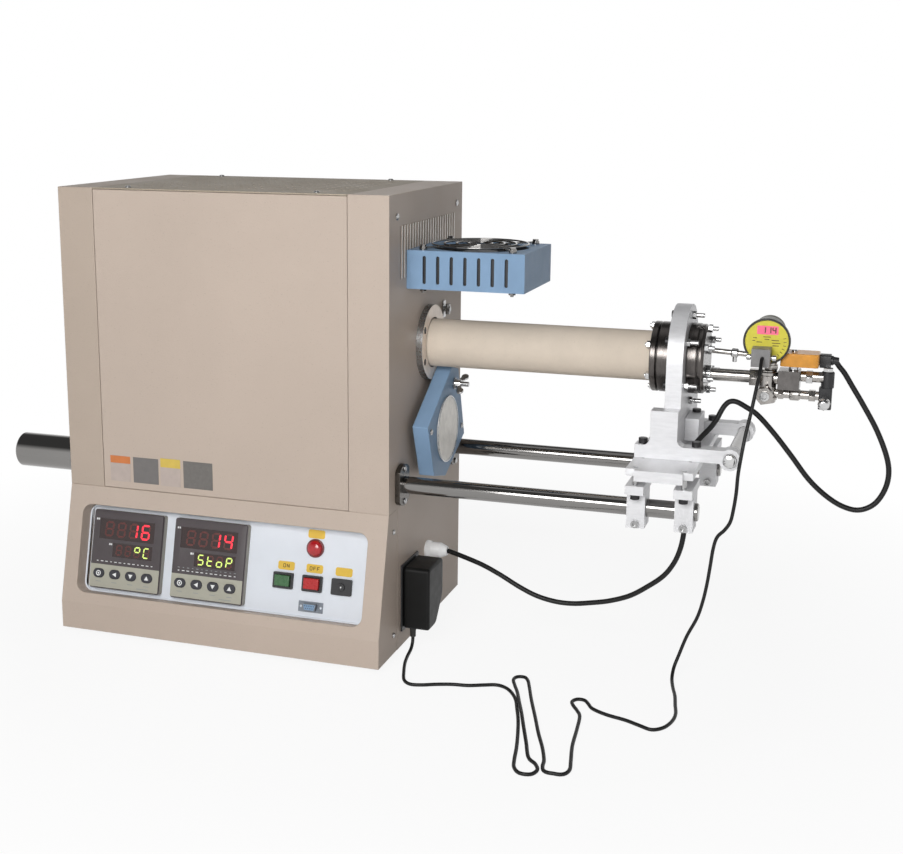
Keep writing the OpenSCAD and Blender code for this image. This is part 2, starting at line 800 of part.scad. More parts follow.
module port_ring() {
    color("silver") place() difference() {
        along_x(cab_w, tube_y, tube_z, ring_d, ring_t, 96);
        along_x(cab_w - cut, tube_y, tube_z, port_d, ring_t + 2 * cut, 96);
        for (a = [30, 150, 210, 330])
            translate([0, tube_y, tube_z]) rotate([a, 0, 0]) {
                along_x(cab_w - cut, ring_d / 2 - 7, 0, 4.5, ring_t + 2 * cut, 24);
                along_x(cab_w + ring_t - 4, ring_d / 2 - 7, 0, 8, cut + 1, 32);
            }
    }
}

// Fan box, fan and guard

module fan_box() {
    color("cornflowerblue") place() difference() {
        translate([fan_x, fan_y, fan_z]) cube([fan_l, fan_w, fan_h]);
        translate([fan_x + sheet, fan_y + sheet, fan_z + sheet])
            cube([fan_l - 2 * sheet, fan_w - 2 * sheet, fan_h - 2 * sheet]);
        along_z(fan_cx, fan_cy, fan_z - cut, fan_bore, fan_h + 2 * cut, 96);
        for (i = [0 : 6]) translate([fan_cx + (i - 3) * 16, fan_y - cut, fan_z + fan_h / 2])
            rotate([-90, 90, 0]) linear_extrude(fan_w + 2 * cut) stadium(32, slit_w);
        fan_screw_holes(4);
    }
}

// The four fan screws' places, as cylinders of diameter d
module fan_screw_holes(d) {
    p = fan_hole / 2;
    for (sx = [-1, 1], sy = [-1, 1])
        along_z(fan_cx + sx * p, fan_cy + sy * p, fan_z - 6, d, fan_h + 14, 24);
}

module fan_frame() {
    color("dimgray") place() difference() {
        union() {
            difference() {
                translate([fan_cx, fan_cy, fan_z0]) translate([-fan_size / 2, -fan_size / 2, 0])
                    linear_extrude(fan_t) round_rect(fan_size, fan_size, 4);
                along_z(fan_cx, fan_cy, fan_z0 - cut, fan_bore, fan_t + 2 * cut, 96);
            }
            translate([fan_cx, fan_cy, fan_z0]) {
                cylinder(d = hub_d, h = 5);
                for (a = [0 : 90 : 270]) rotate([0, 0, a + 20])
                    translate([hub_d / 2 - 1, -3, 0]) cube([(fan_bore - hub_d) / 2 + 2, 6, 3]);
                cylinder(d = 5, h = 24);
            }
        }
        fan_screw_holes(4);
    }
}

module fan_rotor() {
    color("black") place() translate([fan_cx, fan_cy, fan_z0 + 5 + fit]) difference() {
        union() {
            cylinder(d = hub_d, h = fan_t - 9, $fn = 64);
            for (i = [0 : blade_count - 1]) rotate([0, 0, 360 / blade_count * i])
                linear_extrude(fan_t - 12, twist = -35, slices = 6)
                    translate([hub_d / 2 - 2, -1]) square([fan_bore / 2 - hub_d / 2 + 0.5, 2]);
        }
        translate([0, 0, -1]) cylinder(d = 5.1, h = 21.5);
    }
}

module fan_guard() {
    z = fan_z + fan_h;
    p = fan_hole / 2;
    wire = 2;
    color("gainsboro") place() translate([fan_cx, fan_cy, z]) {
        for (r = [14, 28, 42, 56]) translate([0, 0, 4])
            rotate_extrude($fn = 64) translate([r, 0]) circle(d = wire, $fn = 16);
        for (a = [45 : 90 : 315]) rotate([0, 0, a]) translate([12, 0, 2.5]) rotate([0, 90, 0])
            cylinder(d = wire, h = p * sqrt(2) - 15, $fn = 16);
        for (sx = [-1, 1], sy = [-1, 1]) translate([sx * p, sy * p, 0]) {
            cylinder(d = 9, h = 3.6);
            translate([0, 0, 3.6 - eps]) cylinder(d = 7, h = 2.4);
            translate([0, 0, -fan_h - 5]) cylinder(d = 3.8, h = fan_h + 6);
            translate([0, 0, -fan_h - 3]) cylinder(d = 7 / cos(30), h = 3, $fn = 6);
        }
    }
}

// Shutter: a hexagon hung from a pivot above its disc
shutter_outline = [[-26, -59], [26, -59], [77, 0], [12, 72], [-12, 72], [-77, 0]];

// Frame of the shutter: its pivot, with the disc straight below
module at_pivot() {
    translate([shutter_x, pivot_y, pivot_z]) rotate([-hang_angle, 0, 0]) children();
}

module shutter_plate() {
    color("cornflowerblue") place() at_pivot() difference() {
        plate_x(0, shutter_t) translate([0, -swing_r]) polygon(shutter_outline);
        along_x(shutter_t - 3, 0, -swing_r, disc_d + 0.2, cut, 96);
        along_x(-cut, 0, 0, pivot_d + 0.2, shutter_t + 2 * cut);
    }
}

module shutter_disc() {
    color("lightgray") place() at_pivot() {
        along_x(shutter_t - 3, 0, -swing_r, disc_d, 3.5, 96);
        for (s = [-1, 1]) translate([shutter_t, s * (disc_d / 2 + 14), -swing_r])
            rotate([0, 90, 0]) pan_head(8);
    }
}

// Pivot of the shutter: stud, spacer, washer and the nut behind the wall
module pivot_stud() {
    along_x(cab_w - 10, pivot_y, pivot_z, pivot_d, 56);
    along_x(cab_w, pivot_y, pivot_z, 16, ring_t + 0.2);
    along_x(shutter_x + shutter_t + fit, pivot_y, pivot_z, 14, 1.5);
    along_x(cab_w - sheet - 5, pivot_y, pivot_z, 11, 5);
}

module wing_nut() {
    color("gainsboro") place() translate([shutter_x + shutter_t + 2.1, pivot_y, pivot_z])
        rotate([30, 0, 0]) difference() {
            union() {
                rotate([0, 90, 0]) cylinder(d1 = 12, d2 = 10, h = 7);
                for (a = [0, 180]) rotate([a, 0, 0]) wing();
            }
            along_x(-cut, 0, 0, pivot_d + 0.2, 20);
        }
}

// One wing, standing out along +Y
module wing() {
    translate([1, 4, -1.2]) linear_extrude(2.4) {
        polygon([[0, 0], [6, 0], [11, 8], [4, 9]]);
        translate([7.5, 9]) circle(d = 9);
    }
}

// Screws of the cabinet, the latch post, and the pivot of the shutter
module cabinet_fittings() {
    color("silver") place() {
        for (x = [door_x + 40, right_x - 42], y = [14, cab_d - 14])
            translate([x, y, top_z]) pan_head();
        for (y = [25, cab_d - 25]) translate([cab_w, y, top_z - 25]) rotate([0, 90, 0]) pan_head(8);
        for (z = [24, base_h - 24]) translate([cab_w, wrap_d / 2, z]) rotate([0, 90, 0]) pan_head(6);
        for (z = [24, base_h - 24]) translate([0, wrap_d / 2, z]) rotate([0, -90, 0]) pan_head(6);
        translate([cab_w, 194, tube_z + 21]) {
            cube([2, 10, 21]);
            translate([0, 5, 10.5]) rotate([0, 90, 0]) cylinder(d = 7, h = 12);
            translate([12, 5, 10.5]) rotate([0, 90, 0]) cylinder(d = 9, h = 3);
        }
        for (y = rod_y, s = [-1, 1])
            translate([cab_w + bushing_t, y, rod_z + s * (flange_h / 2 - 5)])
                rotate([0, 90, 0]) pan_head(7);
        pivot_stud();
    }
}

// Cable gland standing along +Z on a wall
module gland() {
    difference() {
        union() {
            translate([0, 0, -6]) cylinder(d = gland_thread, h = 7);
            cylinder(d = gland_d + 3, h = 2);
            translate([0, 0, 2 - eps]) hex_nut(gland_d, 5);
            translate([0, 0, 7 - eps]) cylinder(d = gland_d, h = 11);
            translate([0, 0, 18 - 2 * eps])
                cylinder(d1 = gland_d, d2 = coil_cable_d + 5, h = gland_l - 18);
        }
        translate([0, 0, -8]) cylinder(d = coil_cable_d + 0.4, h = gland_l + 2 * cut + 4);
    }
}

module cable_gland() {
    color("white") place() {
        translate([cab_w, gland_y, gland_z]) rotate([0, 90, 0]) gland();
        translate([mains_x, cab_d, mains_z]) rotate([-90, 0, 0]) gland_short();
    }
}

// The shorter gland of the mains cable
module gland_short() {
    difference() {
        union() {
            translate([0, 0, -6]) cylinder(d = gland_thread, h = 7);
            cylinder(d = gland_d + 3, h = 2);
            translate([0, 0, 2 - eps]) hex_nut(gland_d, 5);
            translate([0, 0, 7 - eps]) cylinder(d1 = gland_d, d2 = gland_d - 5, h = 13);
        }
        translate([0, 0, -8]) cylinder(d = 9, h = 40);
    }
}

module power_adapter() {
    color("black") place() {
        translate([cab_w, adapter[1] - 3, adapter[2] - 3])
            cube([2, adapter[4] + 6, adapter[5] + 6]);
        translate([cab_w - 8, adapter[1] + lip + 4, adapter[2] + lip + 4])
            cube([8 + eps, adapter[4] - 2 * lip - 8, adapter[5] - 2 * lip - 8]);
        plate_x(adapter[0] - eps, adapter[3]) translate([adapter[1], adapter[2]])
            round_rect(adapter[4], adapter[5], 5);
        translate([adapter_exit[0], adapter_exit[1], adapter[2] - 11.5])
            cylinder(d1 = lead_d + 2, d2 = lead_d + 5, h = 13);
    }
}

// Carriage

module guide_rods() {
    color("gainsboro") place() for (y = rod_y) {
        along_x(rod_x0 + 1, y, rod_z, rod_d, rod_x1 - rod_x0 - 2, 64);
        translate([rod_x0, y, rod_z]) rotate([0, 90, 0])
            cylinder(d1 = rod_d - 2, d2 = rod_d, h = 1 + eps, $fn = 64);
        translate([rod_x1 - 1 - eps, y, rod_z]) rotate([0, 90, 0])
            cylinder(d1 = rod_d, d2 = rod_d - 2, h = 1 + eps, $fn = 64);
    }
}

// Outline of a clamp in Y and Z about its rod: foot above, split lug below
module clamp_outline() {
    difference() {
        union() {
            translate([-clamp_foot_w / 2, clamp_h - clamp_foot_t])
                square([clamp_foot_w, clamp_foot_t]);
            translate([-clamp_body_w / 2, clamp_h - clamp_full_h])
                square([clamp_body_w, clamp_full_h - eps]);
        }
        circle(d = rod_d, $fn = 64);
        translate([-1, clamp_h - clamp_full_h - cut]) square([2, clamp_full_h - clamp_h + cut]);
    }
}

module rod_clamps() {
    color("silver") place() for (x = clamp_x, y = rod_y) difference() {
        translate([0, y, rod_z]) plate_x(x, clamp_l) clamp_outline();
        for (s = [-1, 1])
            along_z(x + clamp_l / 2, y + s * bolt_pitch / 2, clamp_top - 20, bolt_d, 30, 24);
        along_y(x + clamp_l / 2, y - clamp_body_w / 2 - cut, clamp_screw_z, 5, 40, 24);
    }
}

module clamp_bolts() {
    color("dimgray") place() for (x = clamp_x, y = rod_y) {
        for (s = [-1, 1]) translate([x + clamp_l / 2, y + s * bolt_pitch / 2, 0]) difference() {
            union() {
                along_z(0, 0, clamp_top - clamp_foot_t - head_h, head_d, head_h);
                along_z(0, 0, clamp_top - clamp_foot_t - eps, bolt_d,
                    clamp_foot_t + plate_gap + plate_t - 1, 24);
            }
            translate([0, 0, clamp_top - clamp_foot_t - head_h - eps]) hex_nut(5, 3);
        }
        difference() {
            union() {
                along_y(x + clamp_l / 2, y - clamp_body_w / 2 - 5, clamp_screw_z, 8.5, 5);
                along_y(x + clamp_l / 2, y - clamp_body_w / 2 - eps, clamp_screw_z, 5,
                    clamp_body_w, 24);
            }
            translate([x + clamp_l / 2, y - clamp_body_w / 2 - 5 - eps, clamp_screw_z])
                rotate([-90, 0, 0]) hex_nut(4, 2.5);
        }
    }
}

module carriage_plate() {
    color("silver") place() difference() {
        union() {
            translate([carriage_x, plate_y0, plate_z])
                cube([plate_x1 - carriage_x, plate_y1 - plate_y0, plate_t]);
            for (y = [plate_y0 - end_bar_t, plate_y1 - eps])
                translate([carriage_x + 10, y, plate_z - 4])
                    cube([plate_x1 - carriage_x - 20, end_bar_t + eps, plate_t + 4]);
        }
        along_z(cable_hole[0], cable_hole[1], plate_z - cut, cable_hole[2], plate_t + 2 * cut);
        for (x = clamp_x, y = rod_y, s = [-1, 1])
            along_z(x + clamp_l / 2, y + s * bolt_pitch / 2, plate_z - cut, bolt_d,
                plate_t + 2 * cut, 24);
    }
}

// Side frame: bar along the plate, post beside the arch, and the lug of the handle
module side_frame(y) {
    difference() {
        translate([0, y + arch_t, 0]) rotate([90, 0, 0]) linear_extrude(arch_t) {
            translate([carriage_x, plate_top]) square([handle_x, bar_h]);
            translate([post_x, plate_top]) square([post_w, post_h]);
            translate([bar_x, handle_z]) circle(d = handle_d + 10);
            for (s = [0, 1]) translate([post_x + s * post_w, plate_top + bar_h])
                mirror([1 - s, 0]) fillet(8);
        }
        along_y(bar_x, y - cut, handle_z, handle_d + 0.1, arch_t + 2 * cut, 64);
    }
}

// Inner corner filled to a round
module fillet(r) {
    difference() {
        square([r, r]);
        translate([r, r]) circle(r);
    }
}

module side_frames() {
    color("silver") place() {
        for (y = frame_y) side_frame(y);
        for (y = frame_y, x = [carriage_x + 8, post_x + post_w + 20])
            along_z(x, y + arch_t / 2, plate_top + bar_h - eps, head_d, head_h);
    }
}

// Arch plate that carries the flange, with the block at its back
module arch_plate() {
    color("silver") place() {
        plate_x(arch_x, arch_t) difference() {
            union() {
                translate([tube_y, tube_z]) circle(arch_r, $fn = 128);
                translate([tube_y - arch_r, plate_top])
                    square([2 * arch_r, tube_z - plate_top]);
            }
            translate([tube_y, tube_z]) circle(r = neck_r + 0.1, $fn = 96);
            for (a = [30 : 60 : 330])
                translate([tube_y + outer_r * cos(a), tube_z + outer_r * sin(a)])
                    circle(d = stud_d, $fn = 24);
        }
        translate([arch_x + arch_t - eps, tube_y + 3, plate_top + 12])
            cube([16, 35, 29]);
        along_z(arch_x + arch_t + 8, tube_y + 20, plate_top + 41 - eps, head_d, head_h);
    }
}

module handle_bar() {
    y0 = frame_y[0] - 4;
    y1 = frame_y[1] + arch_t + 4;
    color("gainsboro") place() {
        along_y(bar_x, y0 + 1, handle_z, handle_d, y1 - y0 - 2, 64);
        for (y = [y0, y1 - 1 - eps]) translate([bar_x, y, handle_z]) rotate([-90, 0, 0])
            cylinder(d1 = handle_d - (y == y0 ? 2 : 0), d2 = handle_d - (y == y0 ? 0 : 2),
                h = 1 + eps, $fn = 64);
    }
}

// Vacuum end

// Round of the flange about the tube's axis, from x, with its edges drawn in by e
module disc_x(x, r, l, e = 0.6) {
    translate([x, tube_y, tube_z]) rotate([0, 90, 0]) rotate_extrude($fn = 96)
        polygon([[0, 0], [r - e, 0], [r, e], [r, l - e], [r - e, l], [0, l]]);
}

module seal_flange() {
    color("gainsboro") place() difference() {
        union() {
            disc_x(carriage_x, flange_d / 2, 7);
            disc_x(carriage_x + 7 - eps, flange_d / 2 - 3, 1 + 2 * eps, 0.1);
            disc_x(carriage_x + 8, flange_d / 2, arch_x - carriage_x - 8);
            disc_x(arch_x - eps, neck_r, arch_t + 2 * eps, 0.1);
            disc_x(cover_x, flange_d / 2, cover_t - 8);
            disc_x(cover_x + cover_t - 8 - eps, flange_d / 2, 8, 3);
        }
        disc_x(carriage_x - cut, tube_r, 705 - carriage_x + cut + fit, 0.001);
        disc_x(carriage_x, tube_bore / 2 - 5, cover_x1 - carriage_x - 6, 0.001);
        along_x(cover_x, tube_y, pipe_z, pipe_d, 2 * cover_t);
        for (a = [30 : 60 : 330])
            translate([0, tube_y + stud_r * cos(a), tube_z + stud_r * sin(a)]) {
                along_x(carriage_x - cut, 0, 0, stud_d, 22 + cut, 24);
                along_x(cover_x + 2, 0, 0, stud_d, cover_t + cut, 24);
            }
    }
}

// Studs and nuts: the compression ring's, the cover's, and the outer ones of the arch
module flange_studs() {
    color("silver") place() for (a = [30 : 60 : 330]) {
        translate([0, tube_y + stud_r * cos(a), tube_z + stud_r * sin(a)]) {
            along_x(carriage_x - 2, 0, 0, stud_d, 22 + 2, 24);
            translate([carriage_x - 5, 0, 0]) rotate([0, 90, 0]) hex_nut(8, 5);
            along_x(cover_x + 3, 0, 0, stud_d, cover_t + 7, 24);
            translate([cover_x1, 0, 0]) rotate([0, 90, 0]) hex_nut(8, 5);
        }
        translate([0, tube_y + outer_r * cos(a), tube_z + outer_r * sin(a)]) {
            along_x(arch_x - 5, 0, 0, 8.5, 5);
            along_x(arch_x - eps, 0, 0, stud_d, arch_t + 14, 24);
            translate([arch_x + arch_t, 0, 0]) rotate([0, 90, 0]) hex_nut(8, 5);
        }
    }
}

module work_tube() {
    w = (tube_d - tube_bore) / 2;
    color("linen") place() translate([tube_x, tube_y, tube_z]) rotate([0, 90, 0]) difference() {
        union() {
            translate([0, 0, tube_r]) cylinder(d = tube_d, h = tube_len - tube_r, $fn = 96);
            translate([0, 0, tube_r]) sphere(d = tube_d, $fn = 96);
        }
        translate([0, 0, tube_r]) cylinder(d = tube_bore, h = tube_len, $fn = 96);
        translate([0, 0, tube_r]) sphere(d = tube_bore, $fn = 96);
    }
}

module vacuum_pipework() {
    block_w = 22;
    color("gainsboro") place() {
        difference() {
            along_x(cover_x1, tube_y, pipe_z, pipe_d, valve_x - cover_x1 + eps);
            along_x(cover_x1 - cut, tube_y, pipe_z, pipe_d - 4, valve_x - cover_x1 - 2);
        }
        difference() {
            along_x(cover_x1, tube_y, pipe_z, pipe_d + 6, 5);
            along_x(cover_x1 - cut, tube_y, pipe_z, pipe_d - 4, 20);
        }
        translate([valve_x - 9, tube_y, pipe_z]) rotate([0, 90, 0]) hex_nut(pipe_d + 4, 9.1);
        translate([valve_x, tube_y - block_w / 2, 308]) cube([block_w, block_w, 38]);
        along_y(valve_x + 8, tube_y - block_w / 2 - 6, 319.6, 13, 7);
        translate([valve_x + 8, tube_y - block_w / 2 - 16, 319.6]) rotate([-90, 0, 0])
            hex_nut(17, 10.1);
        along_z(gauge_x, tube_y, 346 - eps, 12, gauge_z - gauge_d / 2 - 346 + eps);
        translate([gauge_x, tube_y, 346.5]) hex_nut(14, 5);
        translate([cover_x1 + 1, tube_y, 360.5]) rotate([0, 99, 0]) cylinder(d = 6, h = 57);
        translate([cover_x1 + 26, tube_y, 357]) rotate([0, 99, 0]) cylinder(d = 10, h = 8);
        translate([cover_x1, tube_y, 360.6]) rotate([0, 90, 0]) cylinder(d = 10, h = 5);
        along_x(valve_x + block_w - eps, tube_y, 319, 10, 46);
        translate([valve_x + block_w, tube_y, 319]) rotate([0, 90, 0]) hex_nut(11, 6);
        along_x(850 - eps, tube_y, 338, 12, 26);
        translate([856, tube_y, 338]) rotate([0, 90, 0]) hex_nut(13, 7);
        translate([knob_x, tube_y - 7, 305]) cube([13, 14, 24]);
        along_z(knob_x + 8, tube_y, 329 - eps, 14, 18);
        along_z(knob_x + 8, tube_y, 347 - eps, 10, 4);
        along_y(knob_x + 6.5, tube_y - 14, 315, 8, 8);
    }
}

module gauge() {
    color("darkslategray") place() {
        along_y(gauge_x, gauge_y, gauge_z, gauge_d, gauge_t, 96);
        difference() {
            along_y(gauge_x, gauge_y - 2, gauge_z, gauge_d, 2 + eps, 96);
            along_y(gauge_x, gauge_y - cut, gauge_z, gauge_d - 5, 2 * cut, 96);
        }
        translate([gauge_x - 14, gauge_y - 22, gauge_z - gauge_d / 2])
            cube([20, 22 + eps, 20]);
    }
}

// Valve body, its coil and the plug on the coil
module solenoid_coil() {
    color("peru") place() {
        translate([826 + fit, tube_y - 13, 325.5]) cube([24 - 2 * fit, 26, 21]);
        along_z(842, tube_y, 346, 13, 3);
        translate([836, tube_y - 15, 348]) linear_extrude(18) round_rect(32, 30, 3);
        translate([868 - eps, tube_y + 3, 352]) cube([12, 16, 11.5]);
    }
}

module needle_knob() {
    color("black") place() difference() {
        union() {
            along_y(knob_x + 6.5, tube_y - 31.5, 315, 13, 16);
            along_y(knob_x + 6.5, tube_y - 31.5, 315, 9, 17);
        }
        along_y(knob_x + 6.5, tube_y - 22, 315, 8.2, 12);
        for (i = [0 : 11]) translate([knob_x + 6.5, tube_y - 32, 315]) rotate([-90, i * 30, 0])
            translate([6.8, 0, 0]) cylinder(d = 1.4, h = 14, $fn = 12);
    }
}

// Cords

module coil_cable() {
    color("black") place() sweep(coil_cable_route, coil_cable_d, 8);
}

module gauge_lead() {
    color("black") place() sweep(lead_rise, lead_d, 8);
}

module gauge_lead_supply() {
    color("black") place() sweep(lead_supply, lead_d, 8);
}

base_front();
base_tray();
rubber_feet();
control_panel();
controller_left();
controller_right();
display_windows();
left_key_set();
left_key_shift();
left_key_down();
left_key_up();
right_key_set();
right_key_shift();
right_key_down();
right_key_up();
switch_bodies();
alarm_lamp();
green_button();
red_button();
lock_barrel();
serial_port();
shell_left();
shell_right();
front_door();
top_grille();
back_panel();
insulation();
heating_elements();
thermocouple();
power_pack();
rod_bearings();
rod_sleeves();
port_ring();
fan_box();
fan_frame();
fan_rotor();
fan_guard();
shutter_plate();
shutter_disc();
wing_nut();
cabinet_fittings();
cable_gland();
power_adapter();
guide_rods();
rod_clamps();
clamp_bolts();
carriage_plate();
side_frames();
arch_plate();
handle_bar();
seal_flange();
flange_studs();
work_tube();
vacuum_pipework();
gauge();
solenoid_coil();
needle_knob();
coil_cable();
gauge_lead();
gauge_lead_supply();
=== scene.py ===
import math

import bmesh
import bpy
from mathutils import Matrix, Vector


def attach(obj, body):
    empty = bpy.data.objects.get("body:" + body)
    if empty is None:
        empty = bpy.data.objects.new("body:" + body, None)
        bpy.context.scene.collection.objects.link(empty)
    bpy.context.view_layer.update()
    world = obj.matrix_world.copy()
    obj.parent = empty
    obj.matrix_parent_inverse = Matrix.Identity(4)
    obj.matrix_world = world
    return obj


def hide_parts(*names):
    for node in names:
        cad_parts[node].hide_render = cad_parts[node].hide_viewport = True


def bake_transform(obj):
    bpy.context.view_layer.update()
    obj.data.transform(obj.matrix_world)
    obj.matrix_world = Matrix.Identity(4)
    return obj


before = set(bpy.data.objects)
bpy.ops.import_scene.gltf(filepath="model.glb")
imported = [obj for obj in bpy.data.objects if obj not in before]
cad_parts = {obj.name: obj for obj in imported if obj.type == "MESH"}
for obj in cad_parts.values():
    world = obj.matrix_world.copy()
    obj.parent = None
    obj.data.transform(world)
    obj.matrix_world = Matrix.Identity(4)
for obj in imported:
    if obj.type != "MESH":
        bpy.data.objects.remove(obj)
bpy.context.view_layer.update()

# Tube furnace with a sliding work tube: finishes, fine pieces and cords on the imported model.
# Sizes and places are in millimetres from the cabinet's corner, unless a line says metres.

# ---------------------------------------------------------------- places

# The cabinet's corner in the row frame: its left wall, its upper front, the foot of its base
CORNER = Vector((-0.3975, -0.130, 0.008))
SLOPE = math.atan2(35, 140)
BASE_TOP = 174
PANEL_DEPTH = 20
TUBE_Y, TUBE_Z = 137.5, 353.0
WALL_X = 415
IN_MM = Matrix.Scale(0.001, 4)
# Puts an outline upright in the YZ plane, with its depth along X
UPRIGHT = Matrix(((0, 0, 1, 0), (1, 0, 0, 0), (0, 1, 0, 0), (0, 0, 0, 1)))


def at(x, y, z):
    """A point given in millimetres from the cabinet's corner."""
    return CORNER + Vector((x, y, z)) / 1000


def turned(x_axis, y_axis, z_axis, origin):
    """Matrix of a place with these axes."""
    m = Matrix((x_axis, y_axis, z_axis)).transposed().to_4x4()
    m.translation = origin
    return m


UP_SLOPE = Vector((0, math.sin(SLOPE), math.cos(SLOPE)))
OFF_SLOPE = Vector((0, -math.cos(SLOPE), math.sin(SLOPE)))


def on_panel(x, v, out=0.0):
    """Place on the control panel: x from the left wall, v down the slope, out of the panel."""
    origin = at(x, 0, BASE_TOP) + (-v * UP_SLOPE + (out - PANEL_DEPTH) * OFF_SLOPE) / 1000
    return turned(Vector((1, 0, 0)), UP_SLOPE, OFF_SLOPE, origin) @ IN_MM


def facing(axis, x, y, z, roll=0.0):
    """Place at a point, with its +Z along an axis of the row frame, turned by roll degrees."""
    z_axis = Vector(axis).normalized()
    side = Vector((0, 0, 1)) if abs(z_axis.z) < 0.9 else Vector((1, 0, 0))
    x_axis = side.cross(z_axis).normalized()
    m = turned(x_axis, z_axis.cross(x_axis), z_axis, at(x, y, z))
    return m @ Matrix.Rotation(math.radians(roll), 4, "Z") @ IN_MM


X, Y, Z = Vector((1, 0, 0)), Vector((0, 1, 0)), Vector((0, 0, 1))


def panel_place(point):
    """Where a point in metres lies on the panel, in millimetres: along x, down the slope, out."""
    from_seam = (point - at(0, 0, BASE_TOP)) * 1000
    return (from_seam.x, -from_seam.dot(UP_SLOPE), from_seam.dot(OFF_SLOPE) + PANEL_DEPTH)


# ---------------------------------------------------------------- making pieces


def rounded(w, h, r, steps=4):
    """Outline of a rectangle with round corners, about its centre."""
    points = []
    for cx, cy, start in ((w / 2 - r, h / 2 - r, 0), (r - w / 2, h / 2 - r, 90),
                          (r - w / 2, r - h / 2, 180), (w / 2 - r, r - h / 2, 270)):
        for i in range(steps + 1):
            a = math.radians(start + 90 * i / steps)
            points.append((cx + r * math.cos(a), cy + r * math.sin(a)))
    return points


def hexagon(flats):
    """Outline of a hexagon by the distance across its flats."""
    r = flats / math.sqrt(3)
    return [(r * math.cos(math.radians(60 * i)), r * math.sin(math.radians(60 * i)))
            for i in range(6)]


def smooth_route(points, step=2.5):
    """Even points on the smooth curve through these, all in millimetres."""
    p = [Vector(q) for q in points]
    p = [2 * p[0] - p[1], *p, 2 * p[-1] - p[-2]]
    fine = []
    for a, b, c, d in zip(p, p[1:], p[2:], p[3:]):
        count = max(2, round((c - b).length / step))
        for i in range(count):
            t = i / count
            fine.append(0.5 * (2 * b + (c - a) * t + (2 * a - 5 * b + 4 * c - d) * t ** 2
                               + (3 * b - a - 3 * c + d) * t ** 3))
    return fine + [p[-2]]


class Piece:
    """One mesh of closed bodies. Sizes are in millimetres, places are row-frame matrices."""

    def __init__(self, name, body, *finishes, slot=None):
        self.name, self.body, self.finishes, self.slot = name, body, finishes, slot
        self.bm = bmesh.new()

    def skin(self, rings, finish=0, loop=False):
        """Closed skin over rings of points; a ring of one point is a tip."""
        rings = [[self.bm.verts.new(p) for p in ring] for ring in rings]
        pairs = list(zip(rings, rings[1:]))
        if loop:
            pairs.append((rings[-1], rings[0]))
        faces = []
        for a, b in pairs:
            n = max(len(a), len(b))
            for i in range(n if n > 1 else 0):
                j = (i + 1) % n
                if len(a) == 1:
                    faces.append(self.bm.faces.new((a[0], b[j], b[i])))
                elif len(b) == 1:
                    faces.append(self.bm.faces.new((a[i], a[j], b[0])))
                else:
                    faces.append(self.bm.faces.new((a[i], a[j], b[j], b[i])))
        if not loop:
            faces += [self.bm.faces.new(r) for r in (rings[0], rings[-1]) if len(r) > 2]
        for f in faces:
            f.material_index = finish
        return self

    def turn(self, place, profile, finish=0, sides=40, loop=False):
        """Turned body about the place's Z, from pairs of radius and height."""
        rings = []
        for r, h in profile:
            count = sides if r > 0 else 1
            rings.append([place @ Vector((r * math.cos(2 * math.pi * i / count),
                                          r * math.sin(2 * math.pi * i / count), h)) for i in
                          range(count)])
        return self.skin(rings, finish, loop)

    def rod(self, place, d, length, finish=0, sides=32, edge=0.4):
        """Round bar from the place along its Z, with both ends drawn in by edge."""
        r = d / 2
        return self.turn(place, [(r - edge, 0), (r, edge), (r, length - edge),
                                 (r - edge, length)], finish, sides)

    def slab(self, place, outline, depth, finish=0, low=0.0):
        """Plate of this outline on the place, from low, depth thick."""
        return self.skin([[place @ Vector((x, y, z)) for x, y in outline]
                          for z in (low, low + depth)], finish)

    def block(self, low, high, finish=0):
        """Block between two corners, in millimetres from the cabinet's corner."""
        (x0, y0, z0), (x1, y1, z1) = low, high
        return self.slab(MM, [(x0, y0), (x1, y0), (x1, y1), (x0, y1)], z1 - z0, finish, z0)

    def wire(self, points, d, finish=0, sides=12, closed=False):
        """Round wire through points in metres."""
        p = [Vector(q) for q in points]
        rings, side = [], None
        for i, q in enumerate(p):
            before = p[i - 1] if closed or i else q
            after = p[(i + 1) % len(p)] if closed or i < len(p) - 1 else q
            ahead = (after - before).normalized()
            if side is None:
                side = ahead.cross(Vector((0.3, 0.2, 1)))
            side = (side - ahead * side.dot(ahead)).normalized()
            other = ahead.cross(side)
            rings.append([q + d / 2000 * (math.cos(2 * math.pi * k / sides) * side
                                          + math.sin(2 * math.pi * k / sides) * other)
                          for k in range(sides)])
        return self.skin(rings, finish, loop=closed)

    def done(self, ease=0.3, segments=2, angle=35, stands_for=(), ride=True):
        """Puts the piece in the scene, rides it on its body, and eases its edges."""
        bmesh.ops.recalc_face_normals(self.bm, faces=self.bm.faces)
        return settle(self.name, mesh_of(self.name, self.bm), self.body, self.finishes, ease,
                      segments, angle, stands_for, ride)


MM = Matrix.Translation(CORNER) @ Matrix.Scale(0.001, 4)


def mesh_of(name, bm):
    """The mesh of a finished bmesh."""
    mesh = bpy.data.meshes.new(name)
    bm.to_mesh(mesh)
    bm.free()
    return mesh


def settle(name, mesh, body, finishes, ease, segments, angle, stands_for, ride=True):
    """Puts a mesh in the scene as a piece, with its edges eased by a bevel."""
    piece = bpy.data.objects.new(name, mesh)
    bpy.context.scene.collection.objects.link(piece)
    for finish in finishes:
        mesh.materials.append(finish)
    mesh.shade_smooth()
    mesh.set_sharp_from_angle(angle=math.radians(angle))
    if ease:
        bevel = piece.modifiers.new("ease", "BEVEL")
        bevel.width, bevel.segments = ease / 1000, segments
        bevel.limit_method, bevel.angle_limit = "ANGLE", math.radians(angle)
        bevel.use_clamp_overlap = True
    if ride:
        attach(piece, body)
    if stands_for:
        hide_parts(*stands_for)
    return piece


# ---------------------------------------------------------------- finishes


